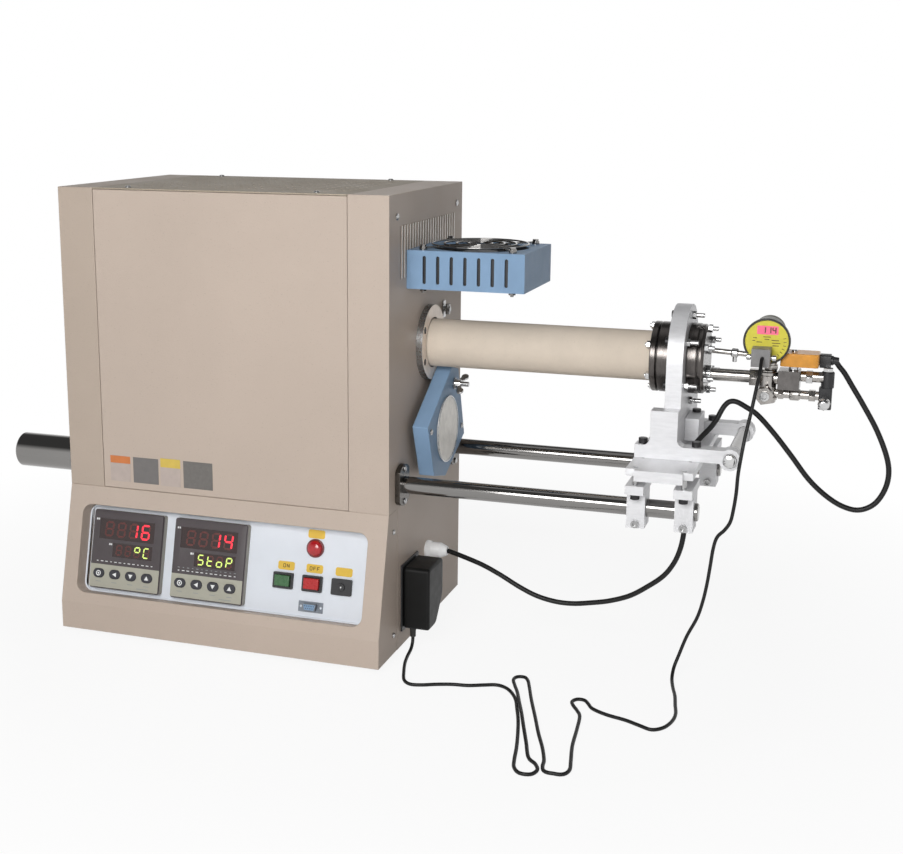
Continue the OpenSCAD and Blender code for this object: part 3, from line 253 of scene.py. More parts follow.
def nodes_of(block):
    """Empties a block's node tree, and gives shorthand to add nodes and links to it."""
    block.use_nodes = True
    tree = block.node_tree
    tree.nodes.clear()

    def add(kind, **values):
        node = tree.nodes.new(kind)
        for key, value in values.items():
            if key.startswith("in_"):
                node.inputs[key[3:].replace("_", " ")].default_value = value
            else:
                setattr(node, key, value)
        return node

    def link(source, target):
        tree.links.new(source, target)
    return add, link


def surface(name, colour, rough, metal=0.0, mottle=0.1, mottle_size=0.01, grain=0.0,
            grain_size=0.0005, stretch=(1, 1, 1), rough_spread=0.06, coat=0.0, specks=0.0,
            glow=0.0, shine=0.5):
    """A finish: a colour with soft mottling, an uneven gloss, and a fine grain in relief.
    Sizes are in metres; stretch draws the grain out along the axes with small values."""
    m = bpy.data.materials.new(name)
    add, link = nodes_of(m)
    shader = add("ShaderNodeBsdfPrincipled", in_Metallic=metal)
    output = add("ShaderNodeOutputMaterial")
    link(shader.outputs[0], output.inputs[0])
    place = add("ShaderNodeTexCoord")
    wide = add("ShaderNodeMapping", in_Scale=stretch)
    link(place.outputs["Object"], wide.inputs[0])
    clouds = add("ShaderNodeTexNoise", in_Scale=1 / mottle_size, in_Detail=3.0,
                 in_Roughness=0.6)
    link(wide.outputs[0], clouds.inputs["Vector"])
    shade = add("ShaderNodeMix", data_type="RGBA", blend_type="MIX")
    darker = [c * (1 - mottle) for c in colour]
    paler = [min(1.0, c * (1 + mottle)) for c in colour]
    shade.inputs["A"].default_value = (*darker, 1)
    shade.inputs["B"].default_value = (*paler, 1)
    spread = add("ShaderNodeMapRange", in_From_Min=0.3, in_From_Max=0.7)
    link(clouds.outputs["Fac"], spread.inputs["Value"])
    link(spread.outputs[0], shade.inputs["Factor"])
    tint = shade.outputs["Result"]
    if specks:
        dust = add("ShaderNodeTexNoise", in_Scale=1 / 0.0016, in_Detail=1.0)
        link(place.outputs["Object"], dust.inputs["Vector"])
        rare = add("ShaderNodeMapRange", in_From_Min=0.68, in_From_Max=0.76, in_To_Max=specks)
        link(dust.outputs["Fac"], rare.inputs["Value"])
        dirty = add("ShaderNodeMix", data_type="RGBA", blend_type="MULTIPLY")
        dirty.inputs["B"].default_value = (0.35, 0.33, 0.30, 1)
        link(rare.outputs[0], dirty.inputs["Factor"])
        link(tint, dirty.inputs["A"])
        tint = dirty.outputs["Result"]
    link(tint, shader.inputs["Base Color"])
    gloss = add("ShaderNodeMapRange", in_From_Min=0.25, in_From_Max=0.75,
                in_To_Min=max(0.02, rough - rough_spread), in_To_Max=rough + rough_spread)
    smear = add("ShaderNodeTexNoise", in_Scale=1 / (mottle_size * 0.4), in_Detail=4.0)
    link(wide.outputs[0], smear.inputs["Vector"])
    link(smear.outputs["Fac"], gloss.inputs["Value"])
    link(gloss.outputs[0], shader.inputs["Roughness"])
    if grain:
        fine = add("ShaderNodeTexNoise", in_Scale=1 / grain_size, in_Detail=2.0)
        link(wide.outputs[0], fine.inputs["Vector"])
        relief = add("ShaderNodeBump", in_Strength=grain, in_Distance=grain_size)
        link(fine.outputs["Fac"], relief.inputs["Height"])
        link(relief.outputs[0], shader.inputs["Normal"])
    if coat:
        shader.inputs["Coat Weight"].default_value = coat
        shader.inputs["Coat Roughness"].default_value = 0.08
    if glow:
        link(tint, shader.inputs["Emission Color"])
        shader.inputs["Emission Strength"].default_value = glow
    shader.inputs["Specular IOR Level"].default_value = shine
    return m


# ---------------------------------------------------------------- camera

VIEW_W, VIEW_H = 903, 854
FOCAL_PX = 1430.17
AIM_PX = (406.26, 406.60)
SENSOR = 36.0
CAMERA_PLACE = (941.62, -1475.23, 643.79)
CAMERA_TURN = (18.94, 12.33, 0.20)  # yaw, pitch and roll in degrees


def make_camera():
    """The camera, fitted to the object's edges."""
    camera = bpy.data.objects.new("camera", bpy.data.cameras.new("camera"))
    bpy.context.scene.collection.objects.link(camera)
    lens = camera.data
    lens.sensor_width = SENSOR
    lens.lens = FOCAL_PX / VIEW_W * SENSOR
    lens.shift_x = (VIEW_W / 2 - AIM_PX[0]) / VIEW_W
    lens.shift_y = (AIM_PX[1] - VIEW_H / 2) / VIEW_W
    lens.clip_start, lens.clip_end = 0.05, 60
    yaw, pitch, roll = (math.radians(a) for a in CAMERA_TURN)
    ahead = Vector((-math.sin(yaw) * math.cos(pitch), math.cos(yaw) * math.cos(pitch),
                    -math.sin(pitch)))
    right = Vector((math.cos(yaw), math.sin(yaw), 0))
    up = right.cross(ahead)
    right, up = (right * math.cos(roll) + up * math.sin(roll),
                 up * math.cos(roll) - right * math.sin(roll))
    camera.matrix_world = turned(right, up, -ahead, at(*CAMERA_PLACE))
    bpy.context.scene.camera = camera


make_camera()

# ---------------------------------------------------------------- cords

COIL_CABLE_ROUTE = [
    (443, 140, 92), (452, 137, 91), (470, 132, 88), (492, 127, 83), (515, 122, 75),
    (540, 118, 64), (562, 116, 56), (585, 115, 52), (606, 115, 52), (628, 114, 56),
    (651, 112, 62), (675, 110, 72), (696, 107, 87), (713, 104, 102), (724, 101, 118),
    (731, 98, 135), (735, 97, 155), (736, 99, 180), (737, 102, 210), (738, 104, 236),
    (739, 104, 250), (742, 107, 260), (748, 113, 268), (756, 121, 277), (762, 127, 286),
    (766, 131, 295), (770, 134, 302), (775, 136, 306), (782, 137, 306), (792, 138, 301),
    (806, 139, 292), (825, 140, 272), (845, 140, 248), (865, 140, 223), (884, 140, 206),
    (903, 140, 195), (921, 140, 192), (937, 141, 200), (947, 142, 217), (950, 143, 236),
    (946, 144, 256), (934, 147, 283), (918, 148, 310), (905, 149, 330), (896, 149, 344),
    (890, 149, 351), (886, 149, 356), (881, 149, 357.5),
]
GAUGE_LEAD_ROUTE = [
    (427, 52, 10), (427, 51, 4), (427, 46, -2), (427, 38, -5), (428, 28, -6), (432, 8, -6),
    (439, -16, -6), (447, -38, -6), (457, -47, -6), (470, -45, -6), (485, -38, -6),
    (502, -32, -6), (520, -29, -6), (536, -22, -6), (549, -17, -6), (560, -20, -6),
    (570, -30, -6), (580, -48, -6), (588, -72, -6), (596, -98, -6), (604, -130, -6),
    (611, -162, -6), (616, -190, -6), (620, -206, -6), (628, -216, -6), (639, -215, -6),
    (643, -204, -6), (638, -192, -6), (628, -180, -6), (618, -150, -5), (607, -118, -3),
    (597, -88, -2), (588, -62, -3), (578, -32, -5), (569, -10, -6), (564, 4, -6), (566, 13, -6),
    (574, 15, -6), (580, 7, -6), (586, -10, -6), (597, -44, -6), (611, -84, -6), (624, -122, -6),
    (636, -154, -6), (644, -180, -6), (646, -194, -6), (649, -203, -6), (654, -206, -6),
    (660, -206, -6), (666, -206, -6), (671, -202, -6), (673, -192, -6), (670, -174, -6),
    (664, -140, -6), (660, -100, -6), (656, -68, -6), (650, -54, -6), (643, -42, -6),
    (640, -33, -6), (644, -25, -6), (652, -25, -6), (658, -33, -6), (665, -44, -6),
    (682, -54, -6), (704, -61, -6), (720, -69, -6), (734, -75, -6), (745, -66, -6),
    (751, -48, -6), (752, -28, -6), (748, -4, -6), (744, 20, -6), (738, 44, -6), (734, 64, -4),
    (734, 77, 4), (738, 82, 17), (746, 82, 41), (757, 79, 66), (763, 75, 88), (767, 71, 110),
    (770, 66, 132), (773, 60, 155), (777, 56, 170), (785, 53, 180), (791, 50, 191),
    (794, 47, 207), (796, 45, 225), (797, 43, 245), (799, 43, 264), (802, 48, 288),
    (806, 58, 314), (809, 68, 337), (811, 77, 353), (811, 85, 361.5), (811, 90, 364),
    (811, 95.45, 364.5),
]


def declare_cord(name, route, d, finish, node_names):
    """A cord's mesh tube on its smooth route, bent between the cabinet and the carriage."""
    points = [at(*q) for q in smooth_route(route)]
    tube = Piece(name, "cabinet", finish, slot="cable_jacket").wire(points, d)
    piece = tube.done(ease=0, stands_for=node_names, ride=False)
    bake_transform(piece)
    return piece


CABLE = surface("cable_jacket", (0.009, 0.009, 0.009), 0.45, mottle=0.15, mottle_size=0.02,
                grain=0.15, grain_size=0.0010, shine=0.3)
declare_cord("coil_supply_cable", COIL_CABLE_ROUTE, 6, CABLE, ("coil_cable",))
declare_cord("gauge_supply_lead", GAUGE_LEAD_ROUTE, 4, CABLE,
             ("gauge_lead", "gauge_lead_supply"))

# ---------------------------------------------------------------- light and floor


LIT_POINT = Vector((0.0, 0.0, 0.3))


def soft_box(name, place, size, power):
    """A white area lamp, in metres and watts, that faces the middle of the object."""
    light = bpy.data.lights.new(name, "AREA")
    light.shape, light.size, light.size_y = "RECTANGLE", size[0], size[1]
    light.energy = power
    lamp = bpy.data.objects.new(name, light)
    lamp.location = place
    lamp.rotation_euler = (LIT_POINT - Vector(place)).to_track_quat("-Z", "Y").to_euler()
    bpy.context.scene.collection.objects.link(lamp)


def seen_directly(add, link):
    """1 where the camera, or a reflection or refraction, sees the surface; 0 for its light."""
    path = add("ShaderNodeLightPath")
    first = add("ShaderNodeMath", operation="MAXIMUM")
    both = add("ShaderNodeMath", operation="MAXIMUM")
    link(path.outputs["Is Camera Ray"], first.inputs[0])
    link(path.outputs["Is Glossy Ray"], first.inputs[1])
    link(first.outputs[0], both.inputs[0])
    link(path.outputs["Is Transmission Ray"], both.inputs[1])
    return both.outputs[0]


WORLD_LIGHT = 0.17


def make_world():
    """White where it is seen, dim where it lights; overhead, a reflection sees a dark ceiling."""
    world = bpy.data.worlds.new("studio")
    add, link = nodes_of(world)
    seen = seen_directly(add, link)
    strength = add("ShaderNodeMapRange", in_To_Min=WORLD_LIGHT, in_To_Max=1.0)
    link(seen, strength.inputs["Value"])
    way = add("ShaderNodeTexCoord")
    split = add("ShaderNodeSeparateXYZ")
    link(way.outputs["Generated"], split.inputs[0])
    ceiling = add("ShaderNodeMapRange", in_From_Min=0.25, in_From_Max=0.6, in_To_Min=1.0,
                  in_To_Max=0.12)
    link(split.outputs["Z"], ceiling.inputs["Value"])
    path = add("ShaderNodeLightPath")
    share = add("ShaderNodeMix", data_type="FLOAT")
    share.inputs["A"].default_value = 1.0
    link(path.outputs["Is Glossy Ray"], share.inputs["Factor"])
    link(ceiling.outputs[0], share.inputs["B"])
    level = add("ShaderNodeMath", operation="MULTIPLY")
    link(strength.outputs[0], level.inputs[0])
    link(share.outputs["Result"], level.inputs[1])
    background = add("ShaderNodeBackground", in_Color=(1, 1, 1, 1))
    output = add("ShaderNodeOutputWorld")
    link(level.outputs[0], background.inputs["Strength"])
    link(background.outputs[0], output.inputs[0])
    bpy.context.scene.world = world


def make_floor():
    """Floor that is white where it is seen, and keeps the object's shadow."""
    bm = bmesh.new()
    bmesh.ops.create_grid(bm, x_segments=1, y_segments=1, size=12)
    mesh = mesh_of("floor", bm)
    floor = bpy.data.objects.new("floor", mesh)
    floor.location.z = -0.0005
    bpy.context.scene.collection.objects.link(floor)
    m = bpy.data.materials.new("pale_floor")
    add, link = nodes_of(m)
    seen = seen_directly(add, link)
    place = add("ShaderNodeTexCoord")
    far = add("ShaderNodeVectorMath", operation="LENGTH")
    link(place.outputs["Object"], far.inputs[0])
    fade = add("ShaderNodeMapRange", in_From_Min=0.45, in_From_Max=1.0, in_To_Min=0.90,
               in_To_Max=1.0)
    link(far.outputs["Value"], fade.inputs["Value"])
    share = add("ShaderNodeMath", operation="MULTIPLY")
    link(seen, share.inputs[0])
    link(fade.outputs[0], share.inputs[1])
    matt = add("ShaderNodeBsdfDiffuse", in_Color=(0.86, 0.86, 0.86, 1))
    glow = add("ShaderNodeEmission", in_Color=(1, 1, 1, 1), in_Strength=1.0)
    mix = add("ShaderNodeMixShader")
    output = add("ShaderNodeOutputMaterial")
    link(share.outputs[0], mix.inputs[0])
    link(matt.outputs[0], mix.inputs[1])
    link(glow.outputs[0], mix.inputs[2])
    link(mix.outputs[0], output.inputs[0])
    mesh.materials.append(m)


make_world()
make_floor()
soft_box("key_light", (0.12, -1.75, 1.0), (0.9, 0.7), 23.5)
soft_box("top_light", (-0.2, 0.2, 2.2), (1.2, 1.0), 1.6)
bpy.context.scene.view_settings.view_transform = "Standard"

# ---------------------------------------------------------------- the finishes in use

BEIGE = surface("beige_enamel", (0.555, 0.462, 0.392), 0.44, mottle=0.03, mottle_size=0.22,
                grain=0.2, grain_size=0.0012, specks=0.2, shine=0.25)
BEIGE_LEFT = surface("beige_enamel_strip", (0.50, 0.415, 0.345), 0.45, mottle=0.03,
                     mottle_size=0.2, grain=0.2, grain_size=0.0012, specks=0.2, shine=0.25)
# Darker copy of the beige enamel for the roof grille: painted shade for the top, which takes less
# light than the front. Its specks are dust.
BEIGE_TOP_SHADED = surface("beige_enamel_roof_painted_shade", (0.40, 0.335, 0.255), 0.5, mottle=0.05, mottle_size=0.1,
                    grain=0.2, grain_size=0.0012, specks=0.3)
# Pale finish for the vent slits: a painted highlight of the light caught by each slit's cheek.
SLIT_HIGHLIGHT = surface("slit_painted_highlight", (0.86, 0.83, 0.78), 0.4, metal=0.3, mottle=0.08)
PANEL_WHITE = surface("pale_panel", (0.772, 0.812, 0.874), 0.40, mottle=0.03, mottle_size=0.05,
                      grain=0.1, grain_size=0.0008)
BLUE = surface("blue_enamel", (0.24, 0.369, 0.541), 0.42, mottle=0.06, mottle_size=0.05, grain=0.2,
               grain_size=0.0010, shine=0.15)
SLATE = surface("slate_plastic", (0.0683, 0.0563, 0.06), 0.45, mottle=0.06, mottle_size=0.02,
                grain=0.15)
KEY_STRIP = surface("grey_green_strip", (0.42, 0.41, 0.34), 0.5, mottle=0.04, mottle_size=0.03,
                    grain=0.1)
BEZEL_EDGE = surface("warm_grey_case", (0.33, 0.31, 0.27), 0.5, mottle=0.05, mottle_size=0.03,
                     grain=0.15, grain_size=0.0006)
WINDOW = surface("dark_red_window", (0.021, 0.0054, 0.0048), 0.16, rough_spread=0.03, coat=0.3)
SEGMENT_OFF = surface("unlit_segment", (0.115, 0.030, 0.026), 0.4, mottle=0.15, mottle_size=0.004)
SEGMENT_RED = surface("lit_red_segment", (1.0, 0.035, 0.06), 0.4, mottle=0.04, mottle_size=0.004,
                      glow=0.8)
SEGMENT_GREEN = surface("lit_green_segment", (0.66, 0.82, 0.20), 0.4, mottle=0.04,
                        mottle_size=0.004, glow=0.5)
KEY_BLACK = surface("key_rubber", (0.030, 0.030, 0.038), 0.5, grain=0.2, grain_size=0.0004)
PRINT_WHITE = surface("white_print", (0.85, 0.86, 0.86), 0.5, mottle=0.03)
PRINT_GREY = surface("grey_print", (0.30, 0.32, 0.32), 0.5, mottle=0.05)
BLACK = surface("black_plastic", (0.018, 0.018, 0.020), 0.42, mottle=0.15, mottle_size=0.02,
                grain=0.2)
GLOSS_BLACK = surface("glossy_black_case", (0.008, 0.008, 0.008), 0.45, mottle=0.2,
                      mottle_size=0.03, rough_spread=0.05, shine=0.2)
RUBBER = surface("black_rubber", (0.022, 0.021, 0.020), 0.7, mottle=0.15, grain=0.35,
                 grain_size=0.0007)
LAMP_RIM = surface("dark_red_collar", (0.16, 0.012, 0.016), 0.3, mottle_size=0.006, coat=0.3)
LAMP_RED = surface("red_lens", (0.442, 0.0075, 0.014), 0.16, mottle_size=0.006, rough_spread=0.03,
                   coat=0.5)
BUTTON_RED = surface("red_cap", (0.46, 0.0091, 0.0102), 0.28, mottle=0.06, coat=0.3)
BUTTON_GREEN = surface("green_cap", (0.039, 0.132, 0.045), 0.28, mottle=0.06, coat=0.3)
YELLOW = surface("yellow_label", (0.76, 0.50, 0.06), 0.5, mottle=0.04)
INK = surface("brown_ink", (0.10, 0.055, 0.02), 0.6, mottle_size=0.004)
LABEL_ORANGE = surface("orange_plate", (0.62, 0.20, 0.06), 0.5, mottle=0.05)
LABEL_PALE = surface("pale_plate", (0.50, 0.42, 0.38), 0.5, mottle=0.05)
LABEL_GREY = surface("grey_plate", (0.17, 0.16, 0.155), 0.5, mottle=0.06)
LABEL_YELLOW = surface("yellow_plate", (0.68, 0.50, 0.10), 0.5, mottle=0.05)
LABEL_DARK = surface("dark_plate", (0.16, 0.15, 0.14), 0.5, mottle=0.08, mottle_size=0.004)
CHROME = surface("chrome_plate", (0.245, 0.238, 0.231), 0.10, metal=1.0, mottle=0.06,
                 mottle_size=0.05, stretch=(0.2, 1, 1), rough_spread=0.035)
ZINC = surface("zinc_steel", (0.42, 0.42, 0.42), 0.28, metal=1.0, grain=0.1)
ZINC_DARK = surface("dull_zinc", (0.20, 0.22, 0.25), 0.35, metal=0.8, mottle=0.12,
                    mottle_size=0.008, grain=0.1)
ZINC_BRIGHT = surface("bright_nickel", (0.60, 0.60, 0.60), 0.16, metal=1.0, rough_spread=0.04)
RING_GREY = surface("ring_face", (0.82, 0.73, 0.65), 0.5, metal=0.45, mottle=0.08,
                    mottle_size=0.012, grain=0.2, grain_size=0.0008)
GUNMETAL = surface("gunmetal", (0.10, 0.09, 0.08), 0.3, metal=0.9, mottle=0.12, mottle_size=0.008,
                   grain=0.1)
STAINLESS = surface("turned_stainless", (0.42, 0.40, 0.38), 0.17, metal=1.0, mottle=0.12,
                    mottle_size=0.012, grain=0.10, grain_size=0.0004, stretch=(4, 1, 1))
FLANGE_STEEL = surface("dark_turned_steel", (0.115, 0.105, 0.10), 0.2, metal=1.0, mottle=0.2,
                       mottle_size=0.008, grain=0.15, grain_size=0.0004, stretch=(5, 1, 1))
VALVE_STEEL = surface("valve_steel", (0.16, 0.15, 0.145), 0.22, metal=1.0, mottle=0.15,
                      mottle_size=0.008)
ALUMINIUM = surface("milled_aluminium", (0.76, 0.76, 0.775), 0.42, metal=0.35, mottle=0.05,
                    mottle_size=0.014, grain=0.2, stretch=(1, 0.25, 4))
DARK_STEEL = surface("blackened_steel", (0.035, 0.034, 0.036), 0.35, metal=0.7, mottle=0.15,
                     mottle_size=0.006)
DISC_GREY = surface("shield_disc", (0.72, 0.70, 0.66), 0.5, metal=0.5, mottle_size=0.012,
                    grain=0.3, grain_size=0.0012)
CERAMIC = surface("fired_ceramic", (0.738, 0.642, 0.536), 0.75, mottle=0.045, mottle_size=0.04,
                  grain=0.3, grain_size=0.0011, specks=0.15, shine=0.2)
FIBRE = surface("fibre_board", (0.78, 0.75, 0.68), 0.9, mottle=0.06, mottle_size=0.02, grain=0.5,
                grain_size=0.0016)
NYLON = surface("white_nylon", (0.95, 0.95, 0.95), 0.4, mottle=0.04, grain=0.1, grain_size=0.0006)
ORANGE = surface("orange_resin", (0.744, 0.319, 0.03), 0.34, mottle=0.12, mottle_size=0.012,
                 grain=0.1, grain_size=0.0008, coat=0.25)
GAUGE_YELLOW = surface("yellow_dial", (0.74, 0.66, 0.06), 0.4, mottle=0.05)
GAUGE_BLACK = surface("gauge_rim", (0.025, 0.024, 0.020), 0.35, mottle=0.15)
OLIVE = surface("olive_housing", (0.065, 0.060, 0.030), 0.4, mottle=0.2, mottle_size=0.008,
                coat=0.2)
CONNECTOR_GREY = surface("connector_grey", (0.24, 0.235, 0.235), 0.45, mottle=0.08,
                         mottle_size=0.006, grain=0.2)
DISPLAY_PINK = surface("pink_display", (0.78, 0.14, 0.24), 0.4, mottle=0.08, mottle_size=0.004,
                       glow=0.35)
IRON = surface("laminated_iron", (0.05, 0.05, 0.055), 0.6, metal=0.4, mottle=0.2, grain=0.4,
               grain_size=0.0008, stretch=(1, 1, 6))
ELEMENT = surface("silicon_carbide", (0.06, 0.06, 0.065), 0.8, mottle=0.2, grain=0.5,
                  grain_size=0.0010)

# ---------------------------------------------------------------- CAD nodes with eased edges


def eased(node, finishes, body="cabinet", ease=0.5, segments=2, angle=35, cuts=(),
          paint=None, drop=None):
    """A copy of a CAD node, merged, with its edges eased. cuts are planes that part its faces,
    paint gives a face's finish from its middle and normal, and drop says which points go."""
    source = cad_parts[node]
    bm = bmesh.new()
    bm.from_mesh(source.data)
    bmesh.ops.remove_doubles(bm, verts=bm.verts, dist=2e-6)
    bmesh.ops.dissolve_limit(bm, angle_limit=math.radians(0.6), verts=bm.verts, edges=bm.edges,
                             use_dissolve_boundaries=False)
    if drop:
        gone = [v for v in bm.verts if drop((v.co - CORNER) * 1000)]
        bmesh.ops.delete(bm, geom=gone, context="VERTS")
        rim = [e for e in bm.edges if e.is_boundary]
        bmesh.ops.holes_fill(bm, edges=rim, sides=0)
        bmesh.ops.recalc_face_normals(bm, faces=bm.faces)
    for point, normal in cuts:
        bmesh.ops.bisect_plane(bm, geom=bm.verts[:] + bm.edges[:] + bm.faces[:], dist=1e-7,
                               plane_co=point, plane_no=normal)
    if paint:
        for f in bm.faces:
            f.material_index = paint(f.calc_center_median(), f.normal)
    mesh = mesh_of(node + "_eased", bm)
    finishes = finishes if isinstance(finishes, tuple) else (finishes,)
    return settle(node + "_eased", mesh, body, finishes, ease, segments, angle, (node,))


def finished(node, finish):
    """Gives a CAD node that stays its finish."""
    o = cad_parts[node]
    o.data.materials.clear()
    o.data.materials.append(finish)


def local(point):
    """A point in metres, in millimetres from the cabinet's corner."""
    return (point - CORNER) * 1000


# ---------------------------------------------------------------- cabinet

for node, finish, ease in (
        ("base_front", BEIGE, 0.9), ("base_tray", BEIGE, 0.5), ("shell_left", BEIGE_LEFT, 0.7),
        ("shell_right", BEIGE, 0.4), ("front_door", BEIGE, 0.7), ("back_panel", BEIGE, 0.4)):
    eased(node, finish, ease=ease)
eased("rubber_feet", RUBBER, ease=0.8)
eased("control_panel", PANEL_WHITE, ease=0.2)
eased("rod_bearings", (GUNMETAL,), ease=0.5)
eased("rod_sleeves", CHROME, ease=0.5)
eased("cable_gland", NYLON, ease=0.4)


LATCH_Y, LATCH_Z = 199, 384


def long_latch_pin(p):
    """The plain pin of the latch, which the shaped one below takes the place of."""
    return p.x > WALL_X + 2.1 and abs(p.y - LATCH_Y) < 6 and abs(p.z - LATCH_Z) < 14


eased("cabinet_fittings", ZINC, ease=0.25, drop=long_latch_pin)
latch = Piece("latch_pin", "cabinet", ZINC, slot="zinc")
latch.rod(facing(X, WALL_X + 1.9, LATCH_Y, LATCH_Z + 0.5), 7, 7.5)
latch.rod(facing(Z, WALL_X + 6, LATCH_Y, LATCH_Z - 6), 6, 13)
latch.done(ease=0)
SLITS = 22
# Thin pale strips along each vent slit on the right wall: a painted highlight of the lit slit
# cheeks.
slit_highlights = Piece("slit_highlights", "cabinet", SLIT_HIGHLIGHT, slot="cabinet_paint")
for i in range(SLITS):
    y = 40 + i * 198 / (SLITS - 1)
    slit_highlights.block((WALL_X + 0.02, y + 2.1, 440.5), (WALL_X + 0.5, y + 3.7, 499.5))
slit_highlights.done(ease=0.1, segments=1)


def ring_faces(_, normal):
    """The port ring's face is matt, and its edges and bore are bright."""
    return 0 if abs(normal.x) > 0.9 else 1


eased("port_ring", (RING_GREY, ZINC), ease=0.7, paint=ring_faces)
eased("fan_box", BLUE, ease=0.5)
eased("fan_frame", BLACK, ease=0.4)
# The roof grille takes the darker beige enamel, which is painted shade.
finished("top_grille", BEIGE_TOP_SHADED)
finished("insulation", FIBRE)
finished("heating_elements", ELEMENT)
finished("thermocouple", ZINC)
finished("power_pack", IRON)
finished("fan_rotor", BLACK)
finished("fan_guard", CHROME)

door_plates = Piece("door_plates", "cabinet", LABEL_ORANGE, LABEL_PALE, LABEL_GREY, LABEL_YELLOW,
                    LABEL_DARK, slot="panel_paint")


def door_plate(x0, z0, x1, z1, finish, band=None, band_h=10):
    """Thin bare plate on the door, with a band of another finish along its top."""
    top = z1 - band_h if band is not None else z1
    door_plates.block((x0, -0.35, z0), (x1, -0.01, top), finish)
    if band is not None:
        door_plates.block((x0, -0.35, top + 0.05), (x1, -0.01, z1), band)


door_plate(56, 183, 83, 214.6, 1, band=0, band_h=9)
door_plate(87, 183, 121, 214.8, 2)
door_plate(124, 182.5, 150.5, 216.5, 1, band=3, band_h=11)
door_plate(154.5, 182.5, 193, 215.7, 4)
door_plates.done(ease=0.1, segments=1)

# ---------------------------------------------------------------- control panel

WINDOW_X, WINDOW_TOP, WINDOW_W, WINDOW_H, WINDOW_R = 19.0, 23.0, 373.0, 108.0, 12.0
BEZEL_X = (29.5, 140.5)
BEZEL_V, BEZEL, BEZEL_OUT = 29.0, 96.0, 10.0
STRIP_TOP, STRIP_FOOT = BEZEL_V + 66.5, BEZEL_V + BEZEL - 1.5
GLASS_OUT = 9.7
KEY_X, KEY_V, KEY_TOP = (13, 35, 57, 79), BEZEL_V + 77.5, 10.9
SWITCH_X, SWITCH_V, LAMP_V, PORT_V = (284.0, 321.0, 358.0), 89.5, 48, 117
PV_FIGURE, SV_FIGURE = (9.5, 16.5, 2.3), (6.6, 11.5, 1.6)  # width, height, width of a bar

bead = Piece("window_bead", "cabinet", PANEL_WHITE, slot="panel_paint")
bead_middle = on_panel(WINDOW_X + WINDOW_W / 2, WINDOW_TOP + WINDOW_H / 2, 1.3)
bead.wire([bead_middle @ Vector((x, y, 0)) for x, y in
           rounded(WINDOW_W - 2.8, WINDOW_H - 2.8, WINDOW_R - 1.4, 6)], 2.4, sides=10, closed=True)
bead.done(ease=0)


def bezel_faces(middle, _):
    """Slate front with a grey strip for the keys, and a warm grey case behind."""
    v, out = panel_place(middle)[1:]
    if out < BEZEL_OUT - 2.05:
        return 2
    return 1 if STRIP_TOP < v < STRIP_FOOT and out > BEZEL_OUT - 0.2 else 0


for node in ("controller_left", "controller_right"):
    eased(node, (SLATE, KEY_STRIP, BEZEL_EDGE), ease=0.5,
          cuts=[(on_panel(0, v).translation, UP_SLOPE) for v in (STRIP_TOP, STRIP_FOOT)],
          paint=bezel_faces)
finished("display_windows", WINDOW)

BARS = {"a": (0, 1, "h"), "b": (0.5, 0.5, "v"), "c": (0.5, -0.5, "v"), "d": (0, -1, "h"),
        "e": (-0.5, -0.5, "v"), "f": (-0.5, 0.5, "v"), "g": (0, 0, "h")}
LIT = {"1": "bc", "4": "bcfg", "6": "acdefg", "C": "adef", "S": "acdfg", "t": "defg",
       "o": "cdeg", "P": "abefg", "deg": "abfg", "": ""}
SLANT = math.tan(math.radians(5))


def digit(piece, x, v, char, w, h, t, lit_finish):
    """Seven-segment figure centred at x and v, with its lit and unlit bars."""
    place = on_panel(x, v, GLASS_OUT)
    for bar, (sx, sy, way) in BARS.items():
        cx, cy = sx * w, sy * h / 2
        length = (w if way == "h" else h / 2) - t * 0.35
        end = [(-length / 2, 0), (-length / 2 + t / 2, t / 2), (length / 2 - t / 2, t / 2),
               (length / 2, 0), (length / 2 - t / 2, -t / 2), (-length / 2 + t / 2, -t / 2)]
        if way == "v":
            end = [(-b, a) for a, b in end]
        outline = [(cx + a + SLANT * (cy + b), cy + b) for a, b in end]
        lit = bar in LIT[char]
        piece.slab(place, outline, 0.12 if lit else 0.05, lit_finish if lit else 0)


for side, left, pv, sv in (("left", BEZEL_X[0], ("", "", "1", "6"), ("", "", "deg", "C")),
                           ("right", BEZEL_X[1], ("", "", "1", "4"), ("S", "t", "o", "P"))):
    figures = Piece(side + "_figures", "cabinet", SEGMENT_OFF, SEGMENT_RED, SEGMENT_GREEN,
                    slot="window_red")
    for i, char in enumerate(pv):
        digit(figures, left + 23 + 16.5 * i, BEZEL_V + 22.5, char, *PV_FIGURE, 1)
    for i, char in enumerate(sv):
        digit(figures, left + 38 + 12.4 * i, BEZEL_V + 47.5, char, *SV_FIGURE, 2)
    figures.done(ease=0)
    marks = Piece(side + "_bezel_marks", "cabinet", PRINT_WHITE, PRINT_GREY,
                  slot="controller_plastic")
    for dx, dv, w, h, finish in [(5.2, 11.5, 2.0, 2.4, 0), (7.6, 11.5, 1.4, 2.4, 0),
                                 (25.0, 41.0, 2.0, 2.4, 0), (27.4, 41.0, 1.4, 2.4, 0)]:
        marks.slab(on_panel(left + dx, BEZEL_V + dv, BEZEL_OUT), rounded(w, h, 0.3), 0.1, finish)
    for i in range(13):
        marks.slab(on_panel(left + 10 + 6.2 * i, BEZEL_V + 62.5, BEZEL_OUT),
                   rounded(3.6 if i % 3 else 2.2, 0.9, 0.2), 0.1, 0)
        if side == "right":
            marks.slab(on_panel(left + 10 + 6.2 * i, BEZEL_V + 58.8, BEZEL_OUT),
                       rounded(1.8 if i % 2 else 3.0, 0.7, 0.2), 0.1, 1)
    for k in KEY_X:
        marks.slab(on_panel(left + k, BEZEL_V + 87.6, BEZEL_OUT), rounded(7, 0.8, 0.2), 0.1, 1)
    marks.slab(on_panel(left + 74, BEZEL_V + 91.4, BEZEL_OUT), rounded(16, 0.9, 0.2), 0.1, 1)
    marks.done(ease=0)

